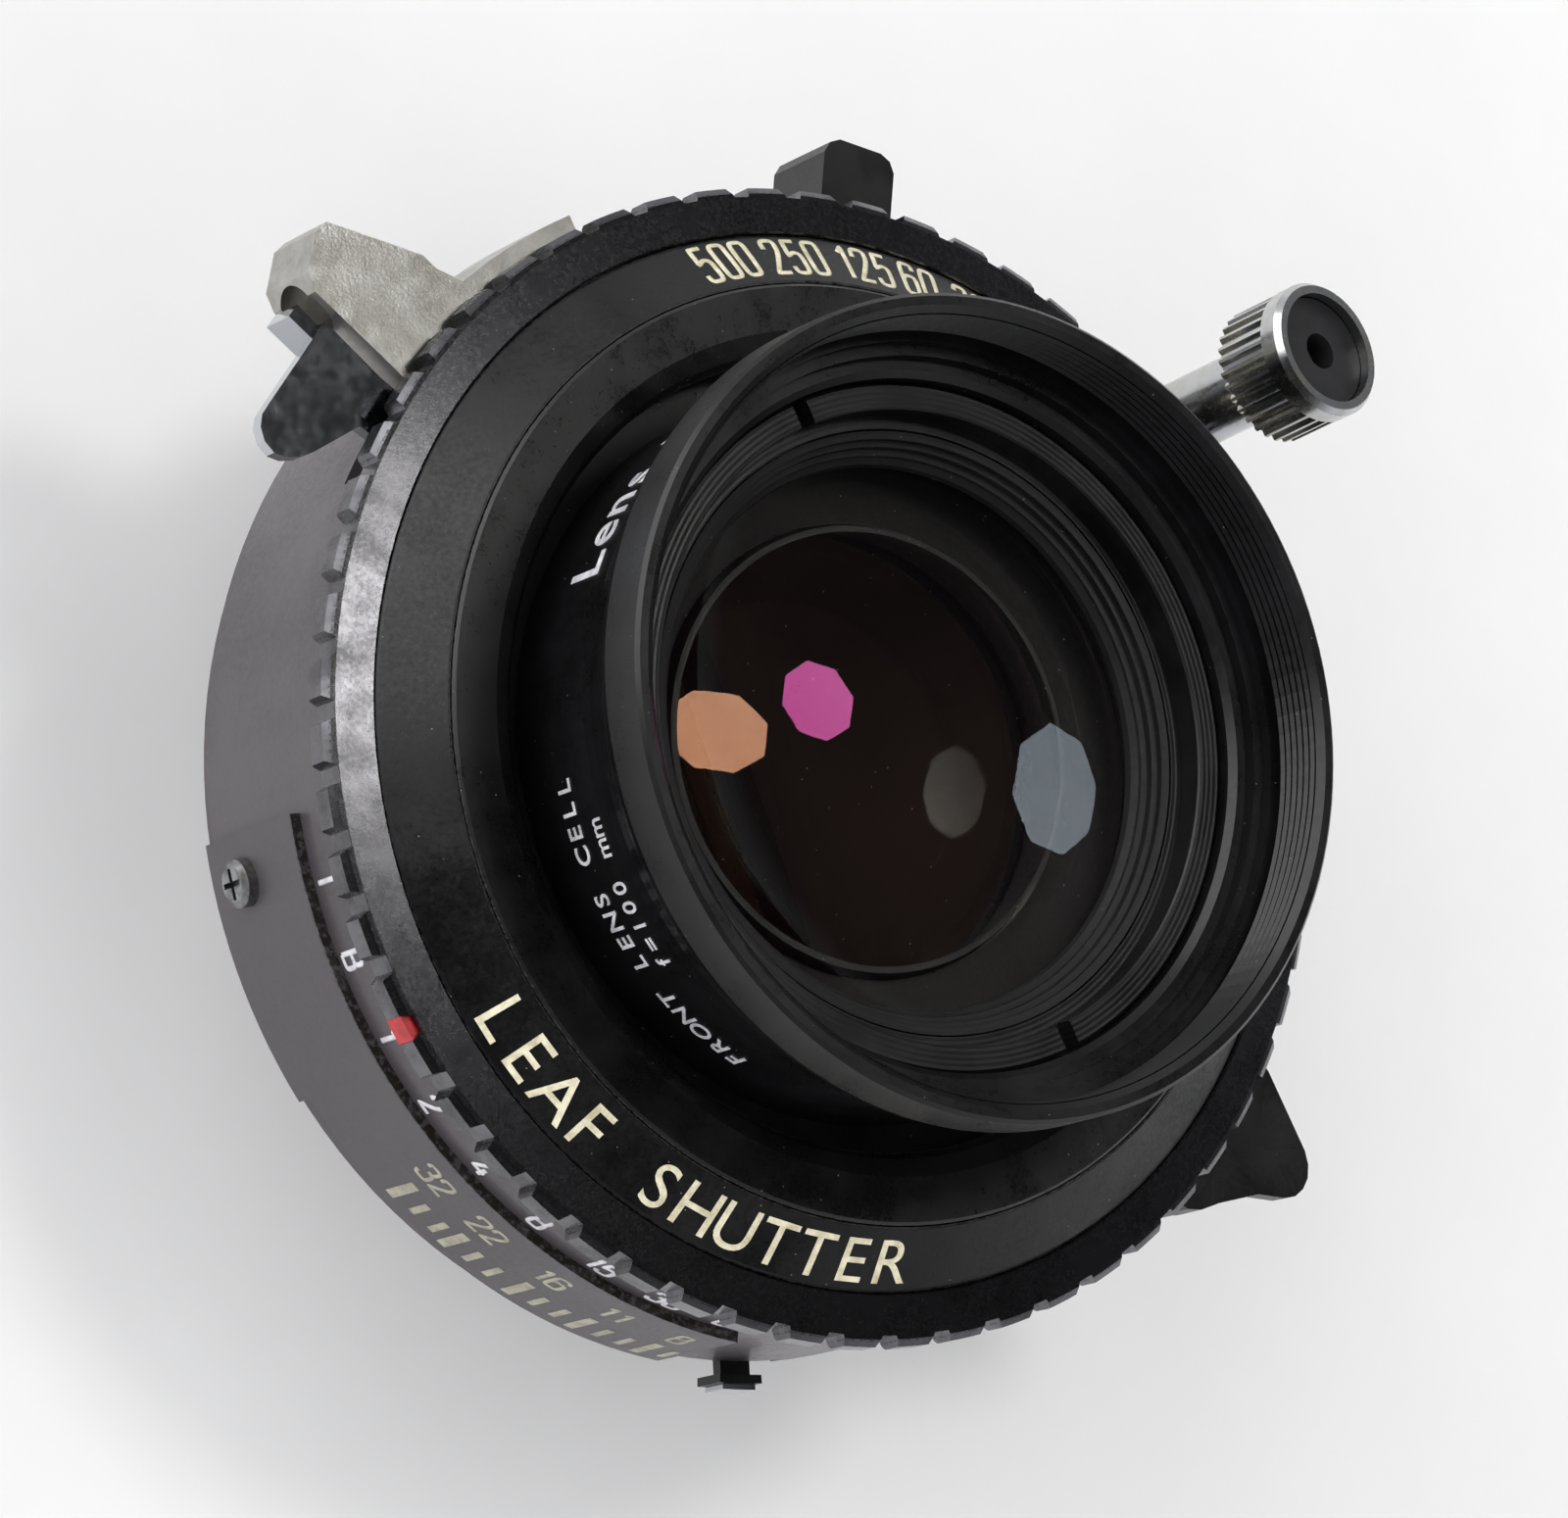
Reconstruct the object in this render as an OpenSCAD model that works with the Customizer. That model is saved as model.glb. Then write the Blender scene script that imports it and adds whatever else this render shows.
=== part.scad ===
// Lens in a mechanical leaf shutter, size 0, for a lens board.
// Origin: optical axis at the rear mounting plane. +Z is the optical axis
// towards the front, +Y is the 12 o'clock side seen from the front.
// All sizes in millimetres.

/* [Shutter case] */
// Outside radius of the case wall
case_r = 29.4; // [29.4:0.1:36]
// Mounting plane to the outer edge of the front face
face_z = 16.0; // [15.5:0.1:22]
// Case wall thickness
wall_t = 1.2; // [1:0.1:2]
// Case floor thickness
floor_t = 1.6; // [1.2:0.1:2]
// Radius of the clear opening through the shutter
port_r = 12.2; // [11.6:0.1:12.2]

/* [Mounting] */
// Outside radius of the rear mounting thread
spigot_r = 16.25; // [16.2:0.01:16.3]
// Length of the rear mounting thread
spigot_len = 5.0; // [4:0.1:8]
// Radius of both cell threads
cell_r = 14.75; // [14.7:0.01:14.8]

/* [Front face] */
// Width of the sloping band that carries the numbers
cone_w = 3.0; // [2:0.1:4]
// Rise of the sloping band towards the lens
cone_h = 1.95; // [0.5:0.05:3]
// Width of the flat locking ring
lock_w = 3.8; // [2:0.1:5]

/* [Speed ring] */
// How far the speed ring stands out from the case wall
ring_out = 0.8; // [0.6:0.1:1.5]
// Height of the grip edge of the speed ring
grip_h = 1.7; // [1.2:0.1:3]
// Number of grip notches round the speed ring
grip_n = 58; // [40:1:72]
// Depth of the grip notches
grip_d = 0.55; // [0.2:0.05:0.7]

/* [Front lens barrel] */
// Height of the front rim above the outer edge of the front face
barrel_h = 13.7; // [9:0.1:20]
// Outside radius of the front rim
rim_r = 21.0; // [20.6:0.1:26]
// Radius of the front filter thread
filter_r = 20.0; // [19.5:0.05:20.3]
// Radius of the clear glass at the front
glass_r = 14.0; // [12:0.05:14.2]

/* [Rear lens barrel] */
// Radius of the rear barrel
rear_r = 15.6; // [15:0.1:16]
// Length of the rear barrel behind the mounting thread
rear_len = 8.0; // [6:0.1:14]

/* [Blades] */
// Number of shutter blades and of iris blades
blade_n = 5; // [5:1:5]
// Thickness of one blade
blade_t = 0.12; // [0.1:0.01:0.16]
// Step from one blade to the next along the axis
blade_step = 0.24; // [0.2:0.01:0.3]
// Angle each shutter blade swings to open
open_deg = 40; // [38:1:42]
// Angle each iris blade swings to close
iris_deg = 30; // [20:1:32]
// Angle of the aperture lever from widest to smallest opening
lever_deg = 39; // [30:1:45]

/* [Fits] */
// Radial running clearance of the turning rings
ring_fit = 0.08; // [0.05:0.01:0.1]
// Radial clearance of the blades on their pins
pin_fit = 0.05; // [0.03:0.01:0.1]
// Radius of the cable release thread
cable_r = 1.6; // [1.5:0.05:1.8]

/* [Hidden] */
$fn = 96;
e = 0.01;
wall_in = case_r - wall_t;
tube_r = spigot_r - 0.05;
seat_z = face_z - 1.0;
ring_r = case_r + ring_out;
ring_z1 = face_z - 0.4;
ring_z0 = ring_z1 - grip_h;
wall_top = ring_z0 - 0.3;
face_r = case_r - 1.9;
lock_r = face_r - cone_w - 0.1;
recess_r = lock_r - lock_w;
skirt_r = recess_r - 1.7;
rim_z = face_z + barrel_h;
web_z0 = face_z - 1.7;
web_z1 = face_z - 1.1;
iris_ring_z = floor_t + 0.2;
lever_az = -62.5;
iris_blade_z = floor_t + 1.05;
iris_plate_z = floor_t + 2.3;
sh_blade_z = floor_t + 3.0;
blade_ring_z = floor_t + 4.3;
deck_z = floor_t + 5.3;
deck_t = 0.8;
iris_pr = port_r + 4.3;
iris_or = 9.8;
sh_pr = port_r + 7.3;
pin_r = 0.7;
stud_r = 0.45;
prev_z = deck_z + deck_t + 0.4;
cock_z = prev_z + 1.3;
snap_z = cock_z + 1.5;
rel_z = wall_top - 1.5;
front_top = rim_z - 5.7;
blade_ring_r = wall_in - 2.0 - ring_fit;

// ---- helpers

module turn(pts) {
    rotate_extrude() polygon(pts);
}

// a band from angle a0 to a1, radius r0 to r1, height z0 to z1
module arc(a0, a1, r0, r1, z0, z1) {
    rotate([0, 0, a0]) rotate_extrude(angle = a1 - a0)
        translate([r0, z0]) square([r1 - r0, z1 - z0]);
}

module at(a, r, z) {
    rotate([0, 0, a]) translate([r, 0, z]) children();
}

module wedge(a0, a1, r) {
    polygon([[0, 0], [r * cos(a0), r * sin(a0)],
        [1.5 * r * cos((a0 + a1) / 2), 1.5 * r * sin((a0 + a1) / 2)],
        [r * cos(a1), r * sin(a1)]]);
}

// ---- fixed shutter body

// floor, outer wall and rear mounting thread in one casting
module case() color([0.42, 0.40, 0.42]) {
    difference() {
        turn([[port_r, -0.4], [cell_r, -0.4], [cell_r, -spigot_len],
            [spigot_r - 0.3, -spigot_len], [spigot_r, -spigot_len + 0.3],
            [spigot_r, 0], [case_r - 1.0, 0], [case_r - 0.8, 0.2],
            [case_r - 0.8, floor_t], [case_r - 0.3, floor_t + 0.1],
            [case_r, floor_t + 0.4], [case_r, wall_top],
            [wall_in, wall_top], [wall_in, deck_z],
            [wall_in - 2.0, deck_z], [wall_in - 2.0, iris_plate_z],
            [wall_in - 2.8, iris_plate_z], [wall_in - 2.8, floor_t],
            [port_r + 0.52, floor_t], [port_r + 0.52, iris_ring_z + 0.75],
            [port_r, iris_ring_z + 0.75]]);
        // slot for the aperture lever
        arc(lever_az - lever_deg - 4, lever_az + 5, wall_in - 4, case_r + 1,
            iris_ring_z - 0.15, iris_ring_z + 0.95);
        // slot for the cocking lever
        arc(-21, 52, wall_in - 1, case_r + 1, cock_z - 0.35, cock_z + 1.45);
        // slot for the preview lever
        arc(99, 136, wall_in - 1, case_r + 1, prev_z - 0.35, prev_z + 1.05);
        // notch for the release lever, open towards the front
        arc(168.2, 181, wall_in - 1, case_r + 1, rel_z - 0.35, wall_top + 1);
        // hole for the scale plate screw
        at(-140.8, case_r - 2, 5.4) rotate([0, 90, 0])
            cylinder(r = 0.5, h = 4);
        // holes for the deck screws
        for (a = [20, 85, 200, 290]) at(a, wall_in - 1.1, deck_z - 1.8)
            cylinder(r = 0.5, h = 3);
        // hole for the sync terminal base rivets
        at(67, case_r - 2, 8.6) rotate([0, 90, 0]) cylinder(r = 0.6, h = 4);
    }
}

module mechanism_plate() color([0.72, 0.62, 0.38]) {
    difference() {
        turn([[port_r + 0.2, deck_z], [wall_in - 0.05, deck_z],
            [wall_in - 0.05, deck_z + deck_t], [port_r + 0.2, deck_z + deck_t]]);
        for (a = [20, 85, 200, 290]) at(a, wall_in - 1.1, deck_z - 1)
            cylinder(r = 0.5, h = 3);
        for (i = [0:4]) at(72 * i, sh_pr, deck_z - 1)
            cylinder(r = pin_r, h = 3);
        at(172, 25.2, deck_z - 1) cylinder(r = 0.9, h = 3);
        at(-40, 24.6, deck_z - 1) cylinder(r = 0.6, h = 3);
    }
}

module deck_screws() color([0.78, 0.78, 0.80]) {
    for (a = [20, 85, 200, 290]) at(a, wall_in - 1.1, 0) difference() {
        union() {
            translate([0, 0, deck_z - 1.7])
                cylinder(r = 0.5, h = deck_t + 1.7);
            translate([0, 0, deck_z + deck_t]) cylinder(r = 0.9, h = 0.5);
        }
        translate([-1, -0.12, deck_z + deck_t + 0.3]) cube([2, 0.24, 1]);
    }
}

// tube that carries the turning rings and takes the front cell
module front_tube() color([0.70, 0.60, 0.36]) {
    turn([[port_r + 0.2, deck_z + deck_t], [tube_r + 1.4, deck_z + deck_t],
        [tube_r + 1.4, deck_z + deck_t + 0.2], [tube_r, deck_z + deck_t + 0.2],
        [tube_r, seat_z], [cell_r, seat_z], [cell_r, deck_z + deck_t + 0.8],
        [port_r + 0.2, deck_z + deck_t + 0.8]]);
}

// fixed front face with the sloping number band
module face_plate() color([0.06, 0.06, 0.065]) {
    turn([[tube_r, web_z0], [face_r - 1.9, web_z0],
        [face_r - 1.9, web_z0 + 0.65], [face_r, web_z0 + 0.65],
        [face_r, face_z - 0.12], [face_r - 0.12, face_z],
        [lock_r + 0.2, face_z + cone_h], [lock_r + 0.08, face_z + cone_h],
        [lock_r + 0.08, web_z1], [tube_r, web_z1]]);
}

module locking_ring() color([0.07, 0.07, 0.075]) {
    turn([[recess_r, web_z1], [lock_r, web_z1],
        [lock_r, face_z + cone_h + 0.05], [lock_r - 0.15, face_z + cone_h + 0.2],
        [recess_r + 1.35, face_z + cone_h + 0.2],
        [recess_r + 0.35, face_z + cone_h - 0.45],
        [recess_r, face_z + cone_h - 0.8]]);
}

module aperture_scale_plate() color([0.46, 0.45, 0.46]) {
    difference() {
        arc(-145.5, -72.5, case_r, case_r + 0.55, 2.15, 10.9);
        arc(-119, -60, case_r - 1, case_r + 2, 1, 3.3);
        at(-140.8, case_r - 1, 5.4) rotate([0, 90, 0])
            cylinder(r = 0.55, h = 4);
    }
}

module plate_screw() color([0.62, 0.61, 0.60]) {
    at(-140.8, 0, 5.4) rotate([0, 90, 0]) difference() {
        union() {
            translate([0, 0, wall_in + 0.2]) cylinder(r = 0.5, h = wall_t + 0.4);
            translate([0, 0, case_r + 0.55]) cylinder(r = 1.25, h = 0.55);
            translate([0, 0, case_r + 1.1])
                cylinder(r1 = 1.25, r2 = 0.95, h = 0.25);
        }
        translate([-0.8, -0.14, case_r + 0.85]) cube([1.6, 0.28, 1]);
        translate([-0.14, -0.8, case_r + 0.85]) cube([0.28, 1.6, 1]);
    }
}

// ---- speed setting ring

module ring_notch(k) {
    at(-122.8 + k * 360 / grip_n, 0, ring_z0 - 0.5) linear_extrude(grip_h + 1)
        polygon([[ring_r - grip_d, -0.42], [ring_r + 0.3, -0.85],
            [ring_r + 0.3, 0.85], [ring_r - grip_d, 0.42]]);
}

module speed_ring() color([0.05, 0.05, 0.055]) {
    difference() {
        turn([[face_r + ring_fit, face_z - 0.1], [face_r + ring_fit, web_z0 + 0.5],
            [face_r - 1.5, web_z0 + 0.5], [face_r - 1.5, ring_z0],
            [ring_r - 0.15, ring_z0], [ring_r, ring_z0 + 0.15],
            [ring_r, ring_z1 - 0.35], [ring_r - 0.35, ring_z1 - 0.05],
            [ring_r - 0.6, ring_z1 + 0.02], [face_r + ring_fit + 0.1, face_z]]);
        for (k = [0:grip_n - 1]) ring_notch(k);
    }
}

// coloured insert in one grip notch: points at the chosen speed
module side_index() color([0.72, 0.10, 0.12]) {
    at(-122.8, 0, ring_z0) linear_extrude(grip_h - 0.35)
        polygon([[ring_r - grip_d, -0.42], [ring_r - 0.05, -0.67],
            [ring_r - 0.05, 0.67], [ring_r - grip_d, 0.42]]);
}

// stepped inner edge of the cam plate, one step per speed
function cam_r(a) = (a >= 60 && a < 148) ? 21.9 + 0.14 * floor((a - 60) / 8) : 21.5;

// stepped cam plate under the ring
module speed_cam() color([0.75, 0.66, 0.40]) {
    translate([0, 0, ring_z0 - 0.75]) linear_extrude(0.75) difference() {
        circle(r = face_r - 0.7);
        polygon([for (a = [0:4:356], d = [0.01, 3.99])
            cam_r(a) * [cos(a + d), sin(a + d)]]);
        for (k = [0:11]) rotate([0, 0, -85 + 8 * k])
            translate([face_r - 0.7, 0]) circle(r = 0.5);
    }
}

module click_spring() color([0.80, 0.80, 0.82]) {
    at(-40, 24.6, 0) union() {
        translate([0, 0, deck_z + deck_t]) cylinder(r = 0.9, h = 2.4);
        translate([0, 0, deck_z - 0.3]) cylinder(r = 0.6, h = deck_t + 0.4);
    }
    arc(-68, -40, 24.3, 24.7, deck_z + deck_t + 0.6, deck_z + deck_t + 2.2);
}

// ---- cable release socket and release lever

module cable_socket() color([0.80, 0.80, 0.79]) {
    difference() {
        translate([0, 0, 9.2]) linear_extrude(4.3) difference() {
            union() {
                polygon([[-36.6, 10.4], [-36.9, 9.6], [-36.4, 7.4],
                    [-35.6, 6.75], [-27.6, 5.1], [-27.0, 12.2],
                    [-30.2, 11.7], [-31.2, 11.9]]);
                intersection() {
                    circle(r = case_r + 1.6);
                    wedge(143, 168, 40);
                }
            }
            circle(r = case_r);
        }
        // through hole for the cable end, square to the lever
        translate([-34.7, 7.0, 11.3]) rotate([0, 0, 257.7])
            translate([-8, 0, 0]) rotate([0, 90, 0])
            cylinder(r = cable_r, h = 12);
    }
}

module release_lever() color([0.82, 0.83, 0.86]) {
    difference() {
        translate([0, 0, rel_z]) linear_extrude(0.8) union() {
            polygon([[-24.2, 4.6], [-24.2, 2.4], [-28.0, 2.0], [-30.35, 2.1],
                [-32.0, -0.5], [-32.55, -1.15], [-33.2, -1.6], [-33.9, -1.75],
                [-34.6, -1.5], [-35.1, -0.95], [-35.3, -0.3], [-35.2, 0.4],
                [-34.3, 5.95], [-33.3, 5.75], [-30.3, 5.05], [-28.0, 4.8]]);
            translate([-24.96, 3.51]) circle(r = 1.9);
        }
        translate([-24.96, 3.51, rel_z - 1])
            cylinder(r = 0.9 + pin_fit, h = 3);
    }
    translate([0, 0, rel_z - 2.3]) linear_extrude(2.3 + e)
        polygon([[-33.2, 5.75], [-35.7, 6.3], [-35.85, 5.5], [-33.2, 4.95]]);
    translate([0, 0, rel_z - 0.8]) linear_extrude(0.8 + e)
        polygon([[-34.2, 5.9], [-35.7, 6.3], [-35.85, 5.5], [-34.2, 5.15]]);
}

module release_pivot() color([0.80, 0.80, 0.82]) {
    at(172, 25.2, 0) union() {
        translate([0, 0, deck_z - 0.3])
            cylinder(r = 0.9, h = rel_z - deck_z + 1.15);
        translate([0, 0, deck_z + deck_t]) cylinder(r = 1.5, h = 0.6);
    }
}

module release_spring() color([0.78, 0.78, 0.80]) {
    at(172, 25.2, 0) for (k = [0:3]) translate([0, 0, deck_z + deck_t + 0.95 + 0.55 * k])
        rotate_extrude() translate([1.35, 0]) circle(r = 0.25, $fn = 24);
}

// ---- levers on the front tube

module ring_blank(z, h, ro) {
    turn([[tube_r + ring_fit, z], [ro, z], [ro, z + h], [tube_r + ring_fit, z + h]]);
}

module cocking_lever() color([0.07, 0.07, 0.075]) {
    ring_blank(cock_z, 0.8, tube_r + 3.2);
    translate([0, 0, cock_z]) linear_extrude(1.1) polygon([[18.4, 1.6],
        [29.0, 2.2], [31.2, 2.0], [33.2, 1.1], [37.0, -1.7], [37.5, -2.3],
        [37.75, -3.0], [37.7, -3.7], [37.4, -4.3], [36.8, -4.75],
        [35.2, -5.4], [33.2, -7.0], [32.2, -8.0], [31.4, -8.4],
        [30.4, -8.4], [28.6, -5.6], [18.4, -3.4]]);
    // turned up thumb edge
    translate([0, 0, cock_z - 1.2]) linear_extrude(2.3)
        polygon([[31.4, -8.4], [30.5, -8.4], [31.9, -6.7], [34.6, -4.7],
            [35.2, -5.4], [33.2, -7.0], [32.2, -8.0]]);
}

module preview_lever() color([0.07, 0.07, 0.075]) {
    ring_blank(prev_z, 0.6, tube_r + 3.0);
    rotate([0, 0, 108.6]) {
        translate([17.6, -2.0, prev_z]) cube([13.0, 4.0, 0.6]);
        intersection() {
            translate([29.9, -2.2, prev_z]) cube([4.4, 4.4, 13.0 - prev_z]);
            translate([0, 0, prev_z]) linear_extrude(6) polygon([[29, -2.2],
                [33.3, -2.2], [33.9, -1.9], [34.2, -1.3], [34.3, 1.3],
                [34.0, 1.9], [33.4, 2.2], [29, 2.2]]);
        }
    }
}

module ring_clip() color([0.80, 0.80, 0.82]) {
    arc(20, 340, tube_r, tube_r + 1.2, snap_z, snap_z + 0.6);
}

module main_spring() color([0.78, 0.78, 0.80]) {
    rotate([0, 0, 150]) rotate_extrude(angle = 170)
        translate([22.4, cock_z + 0.4]) circle(r = 0.4, $fn = 24);
    at(320, 22.4, deck_z + deck_t) cylinder(r = 0.8, h = 3.0);
}

// ---- shutter blades

// blade outline with its pivot on the +X axis
module shutter_blade_2d() {
    ox = sh_pr - sh_pr * cos(open_deg);
    oy = -sh_pr * sin(open_deg);
    difference() {
        union() {
            difference() {
                intersection() {
                    circle(r = port_r + 1.0);
                    translate([sh_pr, 0]) circle(r = 21.6);
                }
                translate([ox, oy]) circle(r = port_r + 0.1);
            }
            translate([sh_pr, 0]) circle(r = 2.0);
            polygon([[sh_pr, 2.0], [sh_pr + 3.2, 1.0], [sh_pr + 4.0, 0.6],
                [sh_pr + 4.0, -0.6], [sh_pr + 3.2, -1.0], [sh_pr, -2.0],
                [12.7, -1.6], [11.2, 4.6], [13.0, 4.4]]);
        }
        translate([sh_pr, 0]) circle(r = pin_r + pin_fit);
    }
}

module shutter_blade(i) color([0.14, 0.12, 0.12]) {
    z = sh_blade_z + blade_step * (i - 1);
    rotate([0, 0, 72 * (i - 1)]) {
        translate([0, 0, z]) linear_extrude(blade_t) shutter_blade_2d();
        translate([sh_pr + 3.2, 0, z])
            cylinder(r = stud_r, h = blade_ring_z + 0.55 - z);
    }
}

module shutter_blade_1() shutter_blade(1);
module shutter_blade_2() shutter_blade(2);
module shutter_blade_3() shutter_blade(3);
module shutter_blade_4() shutter_blade(4);
module shutter_blade_5() shutter_blade(5);

module blade_ring() color([0.74, 0.74, 0.76]) {
    difference() {
        turn([[sh_pr + 1.2, blade_ring_z], [blade_ring_r, blade_ring_z],
            [blade_ring_r, blade_ring_z + 0.7],
            [sh_pr + 1.2, blade_ring_z + 0.7]]);
        for (i = [0:4]) rotate([0, 0, 72 * i])
            translate([sh_pr + 1.9, -stud_r - 0.2, blade_ring_z - 1])
            cube([2.1, 2 * stud_r + 0.4, 3]);
    }
}

module shutter_pins() color([0.80, 0.80, 0.82]) {
    for (i = [0:4]) at(72 * i, sh_pr, iris_plate_z)
        cylinder(r = pin_r, h = deck_z + deck_t - iris_plate_z - 0.1);
}

// ---- iris

module iris_plate() color([0.10, 0.10, 0.105]) {
    difference() {
        turn([[iris_or + 0.5, iris_plate_z], [wall_in - 2.1, iris_plate_z],
            [wall_in - 2.1, iris_plate_z + 0.5],
            [iris_or + 0.5, iris_plate_z + 0.5]]);
        for (i = [0:4]) at(72 * i, sh_pr, iris_plate_z - 1)
            cylinder(r = pin_r, h = 3);
        for (i = [0:4]) at(36 + 72 * i, iris_pr, iris_plate_z - 1)
            cylinder(r = pin_r, h = 3);
    }
}

module iris_pins() color([0.80, 0.80, 0.82]) {
    for (i = [0:4]) at(36 + 72 * i, iris_pr, iris_blade_z - 0.03)
        cylinder(r = pin_r, h = iris_plate_z + 0.4 - iris_blade_z + 0.03);
}

module iris_blade_2d() {
    difference() {
        union() {
            intersection() {
                difference() {
                    circle(r = iris_or + 7.0);
                    circle(r = iris_or);
                }
                translate([iris_pr, 0]) circle(r = 18.2);
                wedge(-4, 92, 30);
            }
            translate([iris_pr, 0]) circle(r = 1.6);
            translate([iris_pr, 2.6]) circle(r = 0.9);
        }
        translate([iris_pr, 0]) circle(r = pin_r + pin_fit);
    }
}

module iris_blade(i) color([0.13, 0.13, 0.135]) {
    z = iris_blade_z + blade_step * (i - 1);
    rotate([0, 0, 36 + 72 * (i - 1)]) {
        translate([0, 0, z]) linear_extrude(blade_t) iris_blade_2d();
        translate([iris_pr, 2.6, iris_ring_z + 0.15])
            cylinder(r = stud_r, h = z - iris_ring_z - 0.15 + e);
    }
}

module iris_blade_1() iris_blade(1);
module iris_blade_2() iris_blade(2);
module iris_blade_3() iris_blade(3);
module iris_blade_4() iris_blade(4);
module iris_blade_5() iris_blade(5);

// path of a blade stud seen from the turning ring, t from 0 to 1
function stud_at(t) = let(f = iris_deg * t, p = lever_deg * t,
    x = iris_pr - 2.6 * sin(f), y = 2.6 * cos(f))
    [x * cos(p) - y * sin(p), x * sin(p) + y * cos(p)];
function unit(v) = v / norm(v);
function side_at(t, w) = let(d = unit(stud_at(t + 0.01) - stud_at(t - 0.01)))
    stud_at(t) + w * [-d[1], d[0]];

module cam_slot(w) {
    polygon(concat([for (k = [-1:13]) side_at(k / 12, w)],
        [for (k = [13:-1:-1]) side_at(k / 12, -w)]));
}

// ring with cam slots, and the arm that comes out through the case
module aperture_lever() color([0.06, 0.06, 0.065]) {
    translate([0, 0, iris_ring_z]) linear_extrude(0.7) difference() {
        circle(r = iris_pr + 4.6);
        circle(r = port_r + 0.52 + ring_fit);
        for (i = [0:4]) rotate([0, 0, 36 + 72 * i]) cam_slot(stud_r + 0.2);
    }
    rotate([0, 0, lever_az]) translate([iris_pr + 4.2, -0.9, iris_ring_z])
        cube([case_r + 1.1 - iris_pr - 4.2, 1.8, 0.7]);
    arc(lever_az - 3.6, lever_az + 1.2, case_r + 0.85, case_r + 1.3,
        iris_ring_z, iris_ring_z + 2.2);
}

module lever_tip() color([0.85, 0.86, 0.88]) {
    arc(lever_az - 3.0, lever_az + 0.7, case_r + 1.3, case_r + 1.6,
        iris_ring_z + 0.25, iris_ring_z + 1.95);
}

// ---- flash terminal

module sync_base() color([0.55, 0.54, 0.54]) {
    difference() {
        union() {
            at(67, case_r - 0.5, 6.6) translate([0, -2.6, 0])
                cube([3.1, 5.2, 5.6]);
            at(67, case_r - wall_t - 0.2, 8.6) rotate([0, 90, 0])
                cylinder(r = 0.6, h = 2);
        }
        difference() {
            cylinder(r = case_r, h = 20);
            at(67, case_r - 3, 8.6) rotate([0, 90, 0])
                cylinder(r = 0.6, h = 4);
        }
        at(67, 34.9, 24) rotate([0, 12, 0]) translate([0, 0, -30])
            cylinder(r = 2.05, h = 40);
    }
}

module term() {
    at(67, 34.9, 24) rotate([0, 12, 0]) children();
}

module sync_stem() color([0.84, 0.85, 0.87]) {
    term() difference() {
        union() {
            translate([0, 0, -16.2]) cylinder(r = 2.05, h = 12.7);
            translate([0, 0, -4.0]) cylinder(r = 3.0, h = 0.5);
        }
        translate([0, 0, -14]) cylinder(r = 1.3, h = 12);
    }
}

// outline with pointed ribs for the knurled grip
module knurl_2d(r, d, n) {
    polygon([for (k = [0:n - 1], j = [0:3]) let(q = 360 / n * (k + j / 4))
        ((j < 2) ? r : r - d) * [cos(q), sin(q)]]);
}

module sync_collar() color([0.85, 0.86, 0.88]) {
    term() difference() {
        union() {
            translate([0, 0, -4.5]) linear_extrude(3.3) knurl_2d(3.72, 0.24, 32);
            translate([0, 0, -1.3]) cylinder(r = 3.75, h = 0.95);
            translate([0, 0, -0.35]) cylinder(r1 = 3.75, r2 = 3.5, h = 0.35);
        }
        translate([0, 0, -4.0]) cylinder(r = 3.06, h = 5);
        translate([0, 0, -5]) cylinder(r = 2.12, h = 3);
    }
}

module sync_insulator() color([0.05, 0.05, 0.055]) {
    term() difference() {
        translate([0, 0, -3.5]) cylinder(r = 3.02, h = 2.9);
        translate([0, 0, -2.7]) cylinder(r = 1.0, h = 4);
        translate([0, 0, -5]) cylinder(r = 0.4, h = 4);
    }
}

module sync_contact() color([0.75, 0.60, 0.30]) {
    term() translate([0, 0, -6.0]) cylinder(r = 0.4, h = 4.4);
}

// ---- front cell

module front_barrel() color([0.05, 0.05, 0.055]) {
    r0 = skirt_r;
    z0 = seat_z;
    k = rim_r - r0;
    turn([[cell_r - 0.05, z0], [r0, z0], [r0, rim_z - 8.4],
        [r0 + 0.03 * k, rim_z - 7.6], [r0 + 0.13 * k, rim_z - 6.6],
        [r0 + 0.30 * k, rim_z - 5.6], [r0 + 0.53 * k, rim_z - 4.7],
        [r0 + 0.76 * k, rim_z - 4.0], [r0 + 0.93 * k, rim_z - 3.4],
        [rim_r, rim_z - 2.9], [rim_r, rim_z - 0.2], [rim_r - 0.2, rim_z],
        [filter_r + 0.35, rim_z], [filter_r, rim_z - 0.35],
        [filter_r, rim_z - 3.3], [19.3, rim_z - 3.3], [19.3, rim_z - 3.9],
        [18.7, rim_z - 3.9], [18.7, rim_z - 4.5], [18.1, rim_z - 4.5],
        [17.75, rim_z - 4.85], [17.75, rim_z - 7.4], [16.2, rim_z - 7.4],
        [16.2, front_top - 4.0], [14.65, front_top - 4.0],
        [14.65, front_top - 8.4], [10.6, front_top - 8.4],
        [10.6, front_top - 13.35], [9.8, front_top - 13.35],
        [9.6, front_top - 14.2], [cell_r - 0.35, front_top - 14.2],
        [cell_r - 0.05, front_top - 13.9]]);
}

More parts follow.
